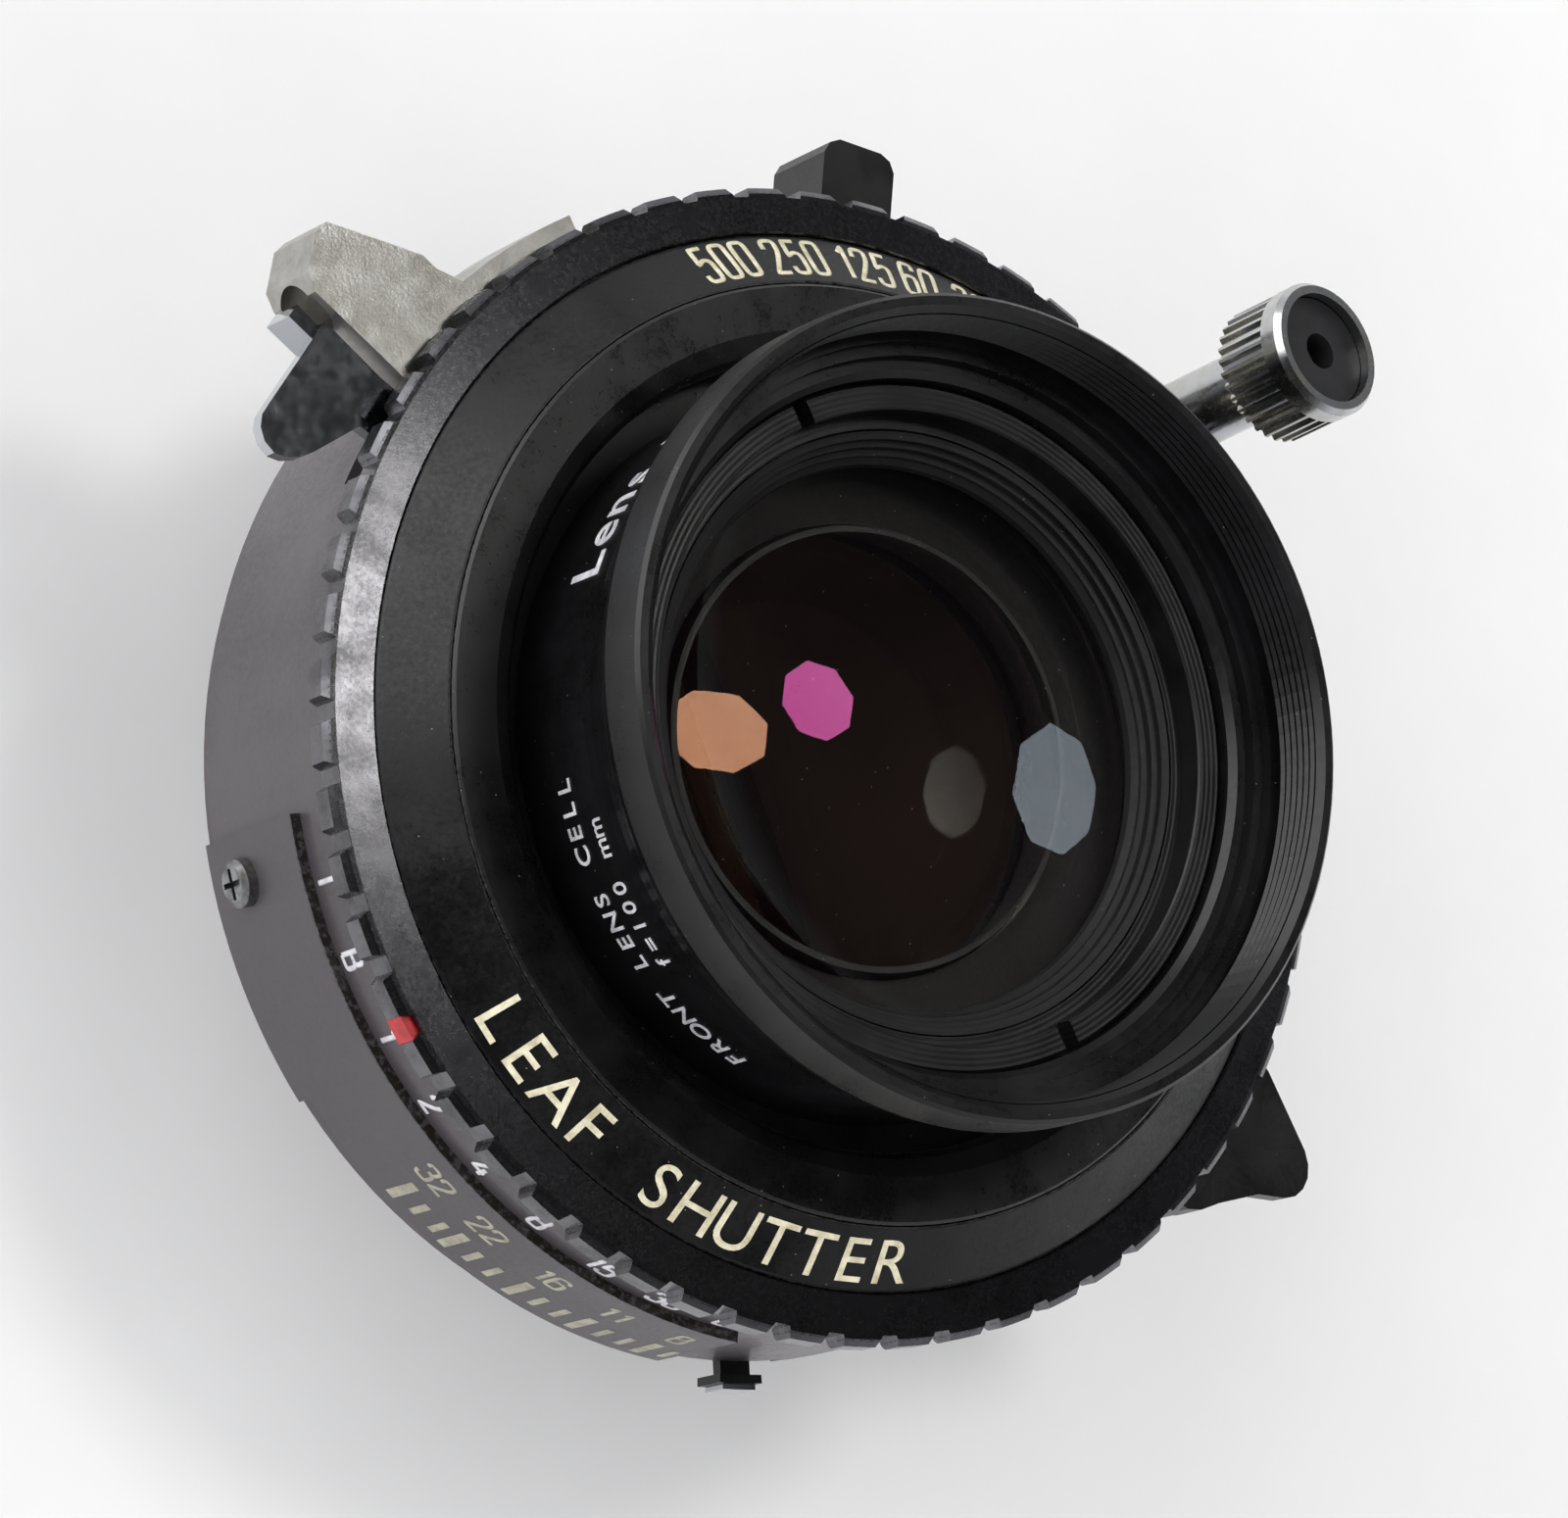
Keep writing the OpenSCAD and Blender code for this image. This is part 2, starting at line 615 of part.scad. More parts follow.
module front_retainer() color([0.10, 0.10, 0.105]) {
    difference() {
        turn([[15.6, rim_z - 7.35], [17.7, rim_z - 7.35], [17.7, rim_z - 5.6],
            [17.5, rim_z - 5.4], [16.4, rim_z - 5.4], [16.3, rim_z - 5.5],
            [16.3, rim_z - 6.85], [15.6, rim_z - 6.85]]);
        for (a = [141.5, 321.5]) at(a, 16.0, rim_z - 6.4)
            translate([0, -0.45, 0]) cube([3, 0.9, 2]);
    }
}

// dull stepped ring that holds the front glass
module front_baffle() color([0.09, 0.09, 0.09]) {
    g = front_top - 34 + sqrt(34 * 34 - glass_r * glass_r);
    turn([[glass_r, g + 0.08], [14.65, g - 0.2], [14.65, front_top - 3.95],
        [16.1, front_top - 3.95], [16.1, rim_z - 7.4], [15.5, rim_z - 7.4],
        [15.5, rim_z - 6.9], [15.1, rim_z - 7.0], [15.1, rim_z - 7.35],
        [14.8, rim_z - 7.45], [14.75, rim_z - 7.8], [14.45, rim_z - 7.9],
        [14.4, g + 0.65], [glass_r + 0.1, g + 0.4]]);
}

// a lens element: front and rear surface as arcs (0 = flat)
function sag(R, r) = R == 0 ? 0 : (R > 0 ? 1 : -1) * (abs(R) - sqrt(R * R - r * r));
module glass_disc(r, zf, Rf, zr, Rr) {
    n = 12;
    turn(concat([[0, zr]], [for (k = [1:n]) [r * k / n, zr - sag(Rr, r * k / n)]],
        [for (k = [n:-1:1]) [r * k / n, zf - sag(Rf, r * k / n)]], [[0, zf]]));
}

module front_glass_a() color([0.35, 0.25, 0.28, 0.5])
    glass_disc(14.6, front_top, 34, front_top - 6.4, 0);
module front_glass_b() color([0.35, 0.30, 0.35, 0.5])
    glass_disc(14.6, front_top - 6.42, 0, front_top - 7.38, 110);
module front_spacer() color([0.08, 0.08, 0.085])
    turn([[10.25, front_top - 11.25], [10.55, front_top - 11.32],
        [10.55, front_top - 7.92], [10.25, front_top - 7.89]]);
module front_glass_c() color([0.35, 0.30, 0.35, 0.5])
    glass_disc(10.55, front_top - 10.0, 42, front_top - 12.2, 50);

// ---- rear cell

module rear_barrel() color([0.05, 0.05, 0.055]) {
    zs = -spigot_len;
    ze = zs - rear_len;
    turn([[cell_r - 0.05, -0.8], [cell_r - 0.05, zs], [rear_r, zs],
        [rear_r, ze + 0.4], [rear_r - 0.4, ze], [14.4, ze], [14.1, ze + 0.3],
        [14.1, ze + 2.4], [12.9, ze + 2.4], [12.9, zs - 2.2], [10.8, zs - 2.2],
        [10.8, -1.6], [9.9, -1.6], [9.9, -1.1], [10.2, -0.8]]);
}

module rear_retainer() color([0.08, 0.08, 0.085]) {
    ze = -spigot_len - rear_len;
    difference() {
        turn([[12.0, ze + 0.9], [14.05, ze + 0.9], [14.05, ze + 2.35],
            [12.0, ze + 2.35]]);
        for (a = [0, 180]) at(a, 12.6, ze) translate([0, -0.5, 0])
            cube([3, 1.0, 1.6]);
    }
}

module rear_glass_a() color([0.35, 0.30, 0.35, 0.5])
    glass_disc(10.75, -2.8, -50, -3.7, -40);
module rear_spacer() color([0.08, 0.08, 0.085])
    turn([[10.1, -7.36], [10.7, -7.36], [10.7, -2.27], [10.1, -2.44]]);
module rear_glass_b() color([0.35, 0.30, 0.35, 0.5])
    glass_disc(12.8, -7.75, -160, -8.7, 0);
module rear_glass_c() color([0.35, 0.25, 0.28, 0.5])
    glass_disc(12.8, -8.72, 0, -11.85, -60);

case();
mechanism_plate();
deck_screws();
front_tube();
face_plate();
locking_ring();
speed_ring();
side_index();
speed_cam();
click_spring();
aperture_scale_plate();
plate_screw();
cable_socket();
release_lever();
release_pivot();
release_spring();
cocking_lever();
preview_lever();
ring_clip();
main_spring();
blade_ring();
shutter_pins();
shutter_blade_1();
shutter_blade_2();
shutter_blade_3();
shutter_blade_4();
shutter_blade_5();
iris_plate();
iris_pins();
iris_blade_1();
iris_blade_2();
iris_blade_3();
iris_blade_4();
iris_blade_5();
aperture_lever();
lever_tip();
sync_base();
sync_stem();
sync_collar();
sync_insulator();
sync_contact();
front_barrel();
front_retainer();
front_baffle();
front_glass_a();
front_glass_b();
front_spacer();
front_glass_c();
rear_barrel();
rear_retainer();
rear_glass_a();
rear_spacer();
rear_glass_b();
rear_glass_c();
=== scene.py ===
"""Finishes, engraved scales, studio and camera for a lens in a leaf shutter.

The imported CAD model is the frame. This script paints it, draws smooth glasses
in place of its own, adds the lettering, the filter thread and the studio, and
moves nothing.
"""

import math

import bpy
from mathutils import Euler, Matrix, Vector


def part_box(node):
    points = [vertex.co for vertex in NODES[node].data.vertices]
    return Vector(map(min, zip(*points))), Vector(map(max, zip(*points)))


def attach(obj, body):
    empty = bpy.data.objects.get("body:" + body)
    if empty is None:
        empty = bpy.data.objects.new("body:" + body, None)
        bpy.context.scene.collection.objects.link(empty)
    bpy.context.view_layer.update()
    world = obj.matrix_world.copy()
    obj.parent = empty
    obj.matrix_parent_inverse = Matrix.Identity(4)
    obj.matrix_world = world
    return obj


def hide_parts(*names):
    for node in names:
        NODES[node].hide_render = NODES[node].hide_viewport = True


bl_info = {
    "name": "Leaf Shutter Lens",
    "version": (1, 0, 0),
    "blender": (4, 5, 0),
    "location": "3D View > Sidebar > Lens",
    "description": "Paints and letters a lens in a leaf shutter and sets its studio",
    "category": "Object",
}

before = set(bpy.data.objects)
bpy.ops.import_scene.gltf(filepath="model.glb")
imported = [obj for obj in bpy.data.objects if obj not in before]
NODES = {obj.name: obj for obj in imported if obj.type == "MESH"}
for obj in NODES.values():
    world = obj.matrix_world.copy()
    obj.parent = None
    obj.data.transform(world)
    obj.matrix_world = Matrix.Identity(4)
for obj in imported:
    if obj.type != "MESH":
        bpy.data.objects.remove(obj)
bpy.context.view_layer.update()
MM = 0.001
HOME = "shutter_body"


def reach(node):
    """Largest distance of a CAD node from the optical axis, in mm."""
    return max(math.hypot(v.co.x, v.co.y) for v in NODES[node].data.vertices) / MM


def low(node):
    """Rear end of a CAD node along the optical axis, in mm."""
    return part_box(node)[0][2] / MM


def top(node):
    """Front end of a CAD node along the optical axis, in mm."""
    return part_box(node)[1][2] / MM


# Driving sizes, all taken from the frame, in mm
CASE_R = reach("case")
WALL_TOP = top("case")
FACE_R = reach("face_plate")
CONE_TOP = top("face_plate")
LOCK_R = reach("locking_ring")
CONE_H = 1.95
CONE_FOOT = CONE_TOP - CONE_H
CONE_EDGE_R = FACE_R - 0.12
CONE_SLOPE = CONE_H / (CONE_EDGE_R - LOCK_R - 0.2)
RING_R = reach("speed_ring")
PLATE_R = reach("aperture_scale_plate")
PLATE_TOP = top("aperture_scale_plate")
RIM_R = reach("front_barrel")
RIM_Z = top("front_barrel")
FILTER_R = RIM_R - 1.0
LOCK_BORE_R = LOCK_R - 3.8
SKIRT_R = LOCK_BORE_R - 1.7
REST_Z = low("rear_barrel")


# ---------------------------------------------------------------- colours


def linear(hex_colour, alpha=1.0):
    """sRGB hex text to the linear colour that a shader takes."""
    parts = [int(hex_colour[i : i + 2], 16) / 255 for i in (1, 3, 5)]
    return tuple(
        c / 12.92 if c <= 0.04045 else ((c + 0.055) / 1.055) ** 2.4 for c in parts
    ) + (alpha,)


def hue(name, text, hex_colour):
    """A colour a user may change, given as sRGB hex."""
    return bpy.props.FloatVectorProperty(
        name=name,
        description=text,
        subtype="COLOR",
        size=4,
        min=0.0,
        max=1.0,
        default=linear(hex_colour),
    )


def length(name, text, mm):
    """A length a user may change, given in mm."""
    return bpy.props.FloatProperty(
        name=name, description=text, default=mm * MM, unit="LENGTH", precision=5
    )


class LensFinishSettings(bpy.types.PropertyGroup):
    """Colours of the finishes."""

    enamel: hue("Case enamel", "Baked grey enamel of the shutter case", "#464145")
    enamel_dark: hue("Case enamel, dark", "Darker patches of it", "#3c383c")
    black: hue("Black enamel", "Satin black of the face and the rings", "#09090a")
    black_worn: hue("Black enamel, rubbed", "Where hands have rubbed it", "#141415")
    ring: hue("Grip ring", "Black anodise with a metal sheen", "#737377")
    ring_dark: hue("Grip ring, dark", "Where the anodise is whole", "#4c4c4f")
    barrel: hue("Barrel black", "Anodised black of the lens barrels", "#0a0a0b")
    inner: hue("Inner black", "Flat black inside the barrels", "#0e0e0f")
    plate: hue("Scale plate", "Anodised grey of the aperture scale", "#444144")
    chrome: hue("Chrome", "Bright plated levers and terminal", "#c3c6ca")
    nickel: hue("Nickel", "Cast and plated cable socket", "#b4b3b0")
    brass: hue("Brass", "Turned brass of the inner plates", "#b08d57")
    steel: hue("Steel", "Turned steel screws and pins", "#9b9ca0")
    blades: hue("Blades", "Blued steel of the blades", "#43362f")
    red: hue("Index red", "Red enamel of the speed index", "#b3282c")


class LensLetteringSettings(bpy.types.PropertyGroup):
    """Sizes and colours of numbers and lettering."""

    cream: hue("Cream paint", "Filled engraving on the front face", "#e9e3c9")
    white: hue("White paint", "Printed numbers on the case and barrel", "#dcdbe0")
    faded: hue("Faded paint", "Worn numbers of the aperture scale", "#a9a594")
    number_height: length("Number height", "Height of the speed numbers", 2.5)
    word_height: length("Word height", "Height of the lower lettering", 2.45)
    side_height: length("Side height", "Height of the case numbers", 1.6)
    stop_height: length("Stop height", "Height of the f-numbers", 1.7)
    lift: length("Lift", "How far paint stands above the metal", 0.02)


class LensStudioSettings(bpy.types.PropertyGroup):
    """Camera and lights."""

    camera_place: bpy.props.FloatVectorProperty(
        name="Camera place",
        description="Where the camera stands",
        default=(-0.1400, -0.1490, 0.3009),
        subtype="TRANSLATION",
        unit="LENGTH",
    )
    camera_turn: bpy.props.FloatVectorProperty(
        name="Camera turn",
        description="Euler angles of the camera",
        default=tuple(math.radians(a) for a in (13.206, -32.904, 23.686)),
        subtype="EULER",
    )
    camera_lens: bpy.props.FloatProperty(
        name="Focal length",
        description="Focal length on a 36 mm wide sensor, in mm",
        default=157.5,
    )
    key_glow: bpy.props.FloatProperty(
        name="Key glow", description="Brightness of the octagonal softbox", default=17.0
    )
    fill_power: bpy.props.FloatProperty(
        name="Fill power", description="Power of each broad fill lamp", default=8.2
    )
    horizon: bpy.props.FloatProperty(
        name="Horizon", description="Brightness of the pale surroundings", default=0.8
    )
    zenith: bpy.props.FloatProperty(
        name="Zenith", description="Brightness of the dim room overhead", default=0.035
    )
    floor: hue("Floor", "Pale paper floor", "#f4f4f5")


# ---------------------------------------------------------------- shaders


def add(tree, kind, inputs=None, **settings):
    """Adds a node, sets it, and links or sets its inputs."""
    node = tree.nodes.new(kind)
    for key, value in settings.items():
        setattr(node, key, value)
    for key, value in (inputs or {}).items():
        if isinstance(value, bpy.types.NodeSocket):
            tree.links.new(value, node.inputs[key])
        else:
            node.inputs[key].default_value = value
    return node


# sockets of a mix node that is set to colours
MIX_A, MIX_B, MIX_RESULT = 6, 7, 2


def blend(tree, factor, first, second):
    """Mixes two colours and returns the socket of the result."""
    inputs = {"Factor": factor, MIX_A: first, MIX_B: second}
    return add(tree, "ShaderNodeMix", inputs, data_type="RGBA").outputs[MIX_RESULT]


def in_mm(tree, height=1000):
    """Place on the object in mm; with a height of 0, across the axis only."""
    where = add(tree, "ShaderNodeTexCoord").outputs["Object"]
    inputs = {"Vector": where, "Scale": (1000, 1000, height)}
    return add(tree, "ShaderNodeMapping", inputs).outputs[0]


def finish(
    name,
    base,
    second,
    rough,
    grain,
    patch,
    relief,
    turned=0.0,
    edges=(),
    specks=0.0,
    **shader,
):
    """A painted, plated or turned surface.

    base and second are mixed in patches of patch mm. grain is the size in mm
    of the texture that sets roughness between the two values of rough and
    stands relief mm high. turned is the pitch in mm of lathe lines round the
    axis. edges are (axis, place, width, colour) in mm: a chipped band of that
    colour along an edge at that radius or height. It is edge wear on most
    parts, edge wear and painted sheen on the black face and locking ring,
    and painted shade on the aperture plate. specks is how strongly dust shows.
    """
    mat = bpy.data.materials.new(name)
    mat.use_nodes = True
    mat.diffuse_color = base
    tree = mat.node_tree
    bsdf = tree.nodes["Principled BSDF"]
    for key, value in shader.items():
        bsdf.inputs[key.replace("_", " ")].default_value = value
    mm = in_mm(tree)
    radius = add(
        tree, "ShaderNodeVectorMath", {0: in_mm(tree, 0)}, operation="LENGTH"
    ).outputs["Value"]
    height = add(tree, "ShaderNodeSeparateXYZ", {0: mm}).outputs["Z"]
    patches = add(
        tree,
        "ShaderNodeTexNoise",
        {"Vector": mm, "Scale": 1 / patch, "Detail": 5.0, "Roughness": 0.62},
    ).outputs[0]
    grains = add(
        tree,
        "ShaderNodeTexNoise",
        {"Vector": mm, "Scale": 1 / grain, "Detail": 3.0, "Roughness": 0.7},
    ).outputs[0]
    share = add(
        tree,
        "ShaderNodeMapRange",
        {"Value": patches, "From Min": 0.38, "From Max": 0.66},
    ).outputs[0]
    colour = blend(tree, share, base, second)
    both = add(
        tree, "ShaderNodeMath", {0: grains, 1: patches}, operation="MULTIPLY"
    ).outputs[0]
    roughness = add(
        tree,
        "ShaderNodeMapRange",
        {
            "Value": both,
            "From Min": 0.14,
            "From Max": 0.38,
            "To Min": rough[0],
            "To Max": rough[1],
        },
    ).outputs[0]
    # a chipped band along each edge: edge wear on most parts, also painted sheen on the
    # black face and locking ring, painted shade on the aperture plate
    for axis, place, width, metal in edges:
        far = add(
            tree,
            "ShaderNodeMath",
            {0: radius if axis == "r" else height, 1: place},
            operation="SUBTRACT",
        ).outputs[0]
        near = add(
            tree,
            "ShaderNodeMapRange",
            {
                "Value": add(
                    tree, "ShaderNodeMath", {0: far}, operation="ABSOLUTE"
                ).outputs[0],
                "From Min": 0.0,
                "From Max": width,
                "To Min": 1.0,
                "To Max": 0.0,
            },
        ).outputs[0]
        chips = add(
            tree,
            "ShaderNodeMapRange",
            {"Value": grains, "From Min": 0.42, "From Max": 0.60},
        ).outputs[0]
        worn = add(
            tree, "ShaderNodeMath", {0: near, 1: chips}, operation="MULTIPLY"
        ).outputs[0]
        colour = blend(tree, worn, colour, metal)
    if specks:
        dots = add(
            tree,
            "ShaderNodeTexVoronoi",
            {"Vector": mm, "Scale": 1.15, "Randomness": 1.0},
        ).outputs["Distance"]
        dust = add(
            tree,
            "ShaderNodeMapRange",
            {
                "Value": dots,
                "From Min": 0.03,
                "From Max": 0.05,
                "To Min": specks,
                "To Max": 0.0,
            },
        ).outputs[0]
        colour = blend(tree, dust, colour, linear("#a8a8a6"))
    tree.links.new(colour, bsdf.inputs["Base Color"])
    tree.links.new(roughness, bsdf.inputs["Roughness"])
    bump = add(
        tree,
        "ShaderNodeBump",
        {"Height": grains, "Strength": 0.6, "Distance": relief * MM},
    )
    if turned:
        phase = add(
            tree,
            "ShaderNodeMath",
            {0: radius, 1: 2 * math.pi / turned},
            operation="MULTIPLY",
        ).outputs[0]
        lines = add(
            tree, "ShaderNodeMath", {0: phase}, operation="SINE"
        ).outputs[0]
        bump = add(
            tree,
            "ShaderNodeBump",
            {
                "Height": lines,
                "Strength": 0.35,
                "Distance": turned * 0.05 * MM,
                "Normal": bump.outputs[0],
            },
        )
    tree.links.new(bump.outputs[0], bsdf.inputs["Normal"])
    return mat


def coated_glass(name, tint, ior, coating):
    """Optical glass whose anti-reflection coating tints what it reflects."""
    mat = bpy.data.materials.new(name)
    mat.use_nodes = True
    tree = mat.node_tree
    bsdf = tree.nodes["Principled BSDF"]
    for key, value in {
        "Base Color": tint,
        "IOR": ior,
        "Transmission Weight": 1.0,
        "Roughness": 0.0,
        "Specular Tint": coating,
    }.items():
        bsdf.inputs[key].default_value = value
    # specks of dust, about 0.08 mm across, that scatter what passes them
    dots = add(
        tree, "ShaderNodeTexVoronoi", {"Vector": in_mm(tree), "Scale": 0.9}
    ).outputs["Distance"]
    dust = add(
        tree,
        "ShaderNodeMapRange",
        {
            "Value": dots,
            "From Min": 0.02,
            "From Max": 0.04,
            "To Min": 0.5,
            "To Max": 0.0,
        },
    ).outputs[0]
    tree.links.new(dust, bsdf.inputs["Roughness"])
    return mat


def paint(material, *nodes):
    """Gives CAD nodes one finish."""
    for node in nodes:
        slots = NODES[node].data.materials
        slots.clear()
        slots.append(material)


def look():
    """The finish settings of this scene."""
    return bpy.context.scene.lens_finish


def rgba(colour):
    """A property's colour as a plain tuple."""
    return tuple(colour)


class LENS_OT_paint_shutter(bpy.types.Operator):
    """Enamel, anodised plate and rings of the shutter body"""

    bl_idname = "lens.paint_shutter"
    bl_label = "Paint Shutter"

    def execute(self, context):
        s = look()
        bare = linear("#77767a")
        # grey for chipped edge lines: edge wear and painted sheen on the black face and
        # locking ring, a darker worn line on the grip ring
        worn = linear("#3c3c3e")
        # baked enamel: even, satin, with a faint orange peel
        case = finish(
            "baked_grey_enamel", rgba(s.enamel), rgba(s.enamel_dark),
            (0.34, 0.52), 0.35, 9.0, 0.006, specks=0.25,
            edges=[("z", WALL_TOP, 0.12, bare)], Coat_Weight=0.15,
        )
        paint(case, "case", "sync_base")
        # satin enamel, rubbed in patches, so it glints in fine speckles; its lighter
        # chipped edge lines are edge wear and painted sheen
        face = finish(
            "satin_black_enamel", rgba(s.black), rgba(s.black_worn),
            (0.26, 0.55), 0.28, 5.0, 0.012, specks=0.5,
            edges=[("r", FACE_R, 0.05, worn), ("r", LOCK_R + 0.12, 0.05, worn)],
        )
        paint(face, "face_plate")
        # the locking ring's lighter chipped edge lines are edge wear and painted sheen
        lock = finish(
            "satin_black_ring", rgba(s.black), rgba(s.black_worn),
            (0.24, 0.50), 0.22, 4.0, 0.012, specks=0.5,
            edges=[("r", LOCK_R, 0.05, worn), ("r", LOCK_BORE_R, 0.06, worn)],
        )
        paint(lock, "locking_ring")
        # anodised grip ring, worn through along its notched edge
        ring = finish(
            "worn_black_anodise", rgba(s.ring), rgba(s.ring_dark),
            (0.20, 0.32), 0.25, 3.5, 0.005, specks=0.3,
            edges=[("r", RING_R - 0.30, 0.08, worn)], Metallic=1.0,
        )
        paint(ring, "speed_ring")
        # the three bands of the plate overlap into one nearly whole dark edge: painted
        # shade along the plate's top edge
        plate = finish(
            "grey_anodised_plate", rgba(s.plate), rgba(s.enamel),
            (0.38, 0.50), 0.30, 7.0, 0.004,
            edges=[("z", PLATE_TOP, 0.24, linear("#15120f")),
                   ("z", PLATE_TOP, 0.16, linear("#15120f")),
                   ("z", PLATE_TOP, 0.16, linear("#1d1812"))],
        )
        paint(plate, "aperture_scale_plate")
        index = finish(
            "red_enamel", rgba(s.red), linear("#8c1d20"),
            (0.35, 0.5), 0.3, 1.0, 0.004,
        )
        paint(index, "side_index")
        lever = finish(
            "satin_black_lever", rgba(s.black), rgba(s.black_worn),
            (0.30, 0.48), 0.22, 3.0, 0.01, specks=0.25,
        )
        paint(lever, "cocking_lever", "preview_lever", "aperture_lever")
        return {"FINISHED"}


class LENS_OT_paint_metal(bpy.types.Operator):
    """Chrome, nickel, brass and steel parts"""

    bl_idname = "lens.paint_metal"
    bl_label = "Paint Metal Parts"

    def execute(self, context):
        s = look()
        # polished chrome on a stamped lever: mirror with soft ripples
        chrome = finish(
            "polished_chrome", rgba(s.chrome), linear("#c4c8ce"),
            (0.07, 0.16), 0.8, 3.0, 0.002, Metallic=1.0,
        )
        paint(chrome, "release_lever", "lever_tip")
        # plated terminal: turned, a little duller than the lever
        turned = finish(
            "turned_chrome", rgba(s.chrome), linear("#b7b5ae"),
            (0.16, 0.30), 0.3, 2.0, 0.003, Metallic=1.0,
        )
        paint(turned, "sync_collar", "sync_stem")
        # cast socket under nickel: fine pits and some grime
        nickel = finish(
            "cast_nickel", rgba(s.nickel), linear("#a3a19a"),
            (0.28, 0.50), 0.16, 1.3, 0.03, Metallic=1.0,
        )
        paint(nickel, "cable_socket")
        brass = finish(
            "turned_brass", rgba(s.brass), linear("#9a7a48"),
            (0.22, 0.38), 0.3, 4.0, 0.004, turned=0.2, Metallic=1.0,
        )
        paint(brass, "mechanism_plate", "front_tube", "speed_cam", "sync_contact")
        screw = finish(
            "oxidised_steel", rgba(s.steel), linear("#5f5e58"),
            (0.30, 0.55), 0.18, 0.9, 0.012, Metallic=1.0,
        )
        paint(screw, "plate_screw", "deck_screws")
        steel = finish(
            "turned_steel", rgba(s.steel), linear("#85868a"),
            (0.20, 0.35), 0.3, 2.0, 0.003, Metallic=1.0,
        )
        paint(steel, "blade_ring", "shutter_pins", "iris_pins", "release_pivot",
              "release_spring", "ring_clip", "main_spring", "click_spring")
        blades = finish(
            "blued_blade_steel", rgba(s.blades), linear("#2c2420"),
            (0.34, 0.50), 0.4, 5.0, 0.002, Metallic=0.3,
        )
        paint(blades, *[n for n in NODES if n[:-1].endswith("_blade_")])
        return {"FINISHED"}


class LENS_OT_paint_optics(bpy.types.Operator):
    """Barrels and the black parts inside them"""

    bl_idname = "lens.paint_optics"
    bl_label = "Paint Optics"

    def execute(self, context):
        s = look()
        # semi gloss anodise with dust on it
        barrel = finish(
            "black_anodised_barrel", rgba(s.barrel), linear("#121214"),
            (0.26, 0.40), 0.4, 6.0, 0.004, specks=0.4,
        )
        paint(barrel, "front_barrel", "rear_barrel")
        ring = finish(
            "black_retaining_ring", rgba(s.barrel), linear("#171719"),
            (0.32, 0.46), 0.3, 4.0, 0.004, turned=0.30,
        )
        paint(ring, "front_retainer", "rear_retainer")
        inner = finish(
            "flat_inner_black", rgba(s.inner), linear("#161617"),
            (0.50, 0.70), 0.3, 4.0, 0.01, turned=0.35, specks=0.5,
        )
        paint(inner, "front_baffle", "front_spacer", "rear_spacer", "iris_plate")
        moulded = finish(
            "black_moulding", linear("#242426"), linear("#1b1b1d"),
            (0.35, 0.5), 0.3, 1.5, 0.006,
        )
        paint(moulded, "sync_insulator")
        return {"FINISHED"}


# ------------------------------------------------------------------ lenses

# each lens: front vertex z, front radius, rear vertex z, rear radius, rim
# radius, front and rear coating, and the CAD nodes it stands for. A radius of
# 0 is flat, and a positive one bulges forward. Cemented pairs are one glass.
LENSES = {
    "front_lens_pair": (24.0, 34.0, 16.62, 0.0, 14.6, "magenta", "blue",
                        ("front_glass_a", "front_glass_b")),
    "front_lens_inner": (15.5, 16.0, 11.75, 50.0, 10.55, "amber", "dull",
                         ("front_glass_c",)),
    "rear_lens_inner": (-2.8, -50.0, -3.7, -40.0, 10.75, "dull", "dull",
                        ("rear_glass_a",)),
    "rear_lens_pair": (-7.75, -160.0, -11.85, -60.0, 12.8, "dull", "magenta",
                       ("rear_glass_b", "rear_glass_c")),
}
# colour of what each coating still reflects
COATINGS = {
    "magenta": "#b5488f",
    "amber": "#e8a483",
    "blue": "#7e8896",
    "dull": "#1a1a1c",
}
GLASS_IOR = 1.60
ARC_STEPS = 14
# edges between faces that meet more sharply than this stay sharp
SMOOTH_DEG = 32
# light stop on the seat of the front pair, its flat black partly painted shade: clear
# and outer radius, its faces
CLEAR_R, SEAT_R = 10.7, 14.6
SEAT_Z0, SEAT_Z1 = 15.61, 15.64


def surface(vertex, bend, rim):
    """Outline of one optical surface from the axis to the rim, in mm."""
    points = []
    for k in range(ARC_STEPS + 1):
        r = rim * k / ARC_STEPS
        sag = math.copysign(abs(bend) - math.sqrt(bend**2 - r**2), bend) if bend else 0
        points.append((r, vertex - sag))
    return points


def lathe(name, outline, steps=128):
    """Spins an open outline of (radius, height) in mm round the axis."""
    alone()
    bpy.ops.mesh.primitive_circle_add(vertices=len(outline), fill_type="NOTHING")
    obj = bpy.context.object
    obj.name = name
    obj.data.name = name
    for vertex, (r, z) in zip(obj.data.vertices, outline):
        vertex.co = (r * MM, 0.0, z * MM)
    # the circle is closed, so the edge between its two ends goes
    last = len(outline) - 1
    bpy.ops.object.mode_set(mode="EDIT")
    bpy.ops.mesh.select_mode(type="EDGE")
    bpy.ops.mesh.select_all(action="DESELECT")
    bpy.ops.object.mode_set(mode="OBJECT")
    for edge in obj.data.edges:
        edge.select = set(edge.vertices) == {0, last}
    bpy.ops.object.mode_set(mode="EDIT")
    bpy.ops.mesh.delete(type="EDGE_FACE")
    bpy.ops.mesh.select_all(action="SELECT")
    bpy.ops.mesh.spin(
        steps=steps, angle=2 * math.pi, center=(0, 0, 0), axis=(0, 0, 1)
    )
    bpy.ops.mesh.select_all(action="SELECT")
    bpy.ops.mesh.remove_doubles(threshold=2e-6)
    bpy.ops.mesh.normals_make_consistent(inside=False)
    bpy.ops.object.mode_set(mode="OBJECT")
    bpy.ops.object.shade_smooth_by_angle(angle=math.radians(SMOOTH_DEG))
    return obj


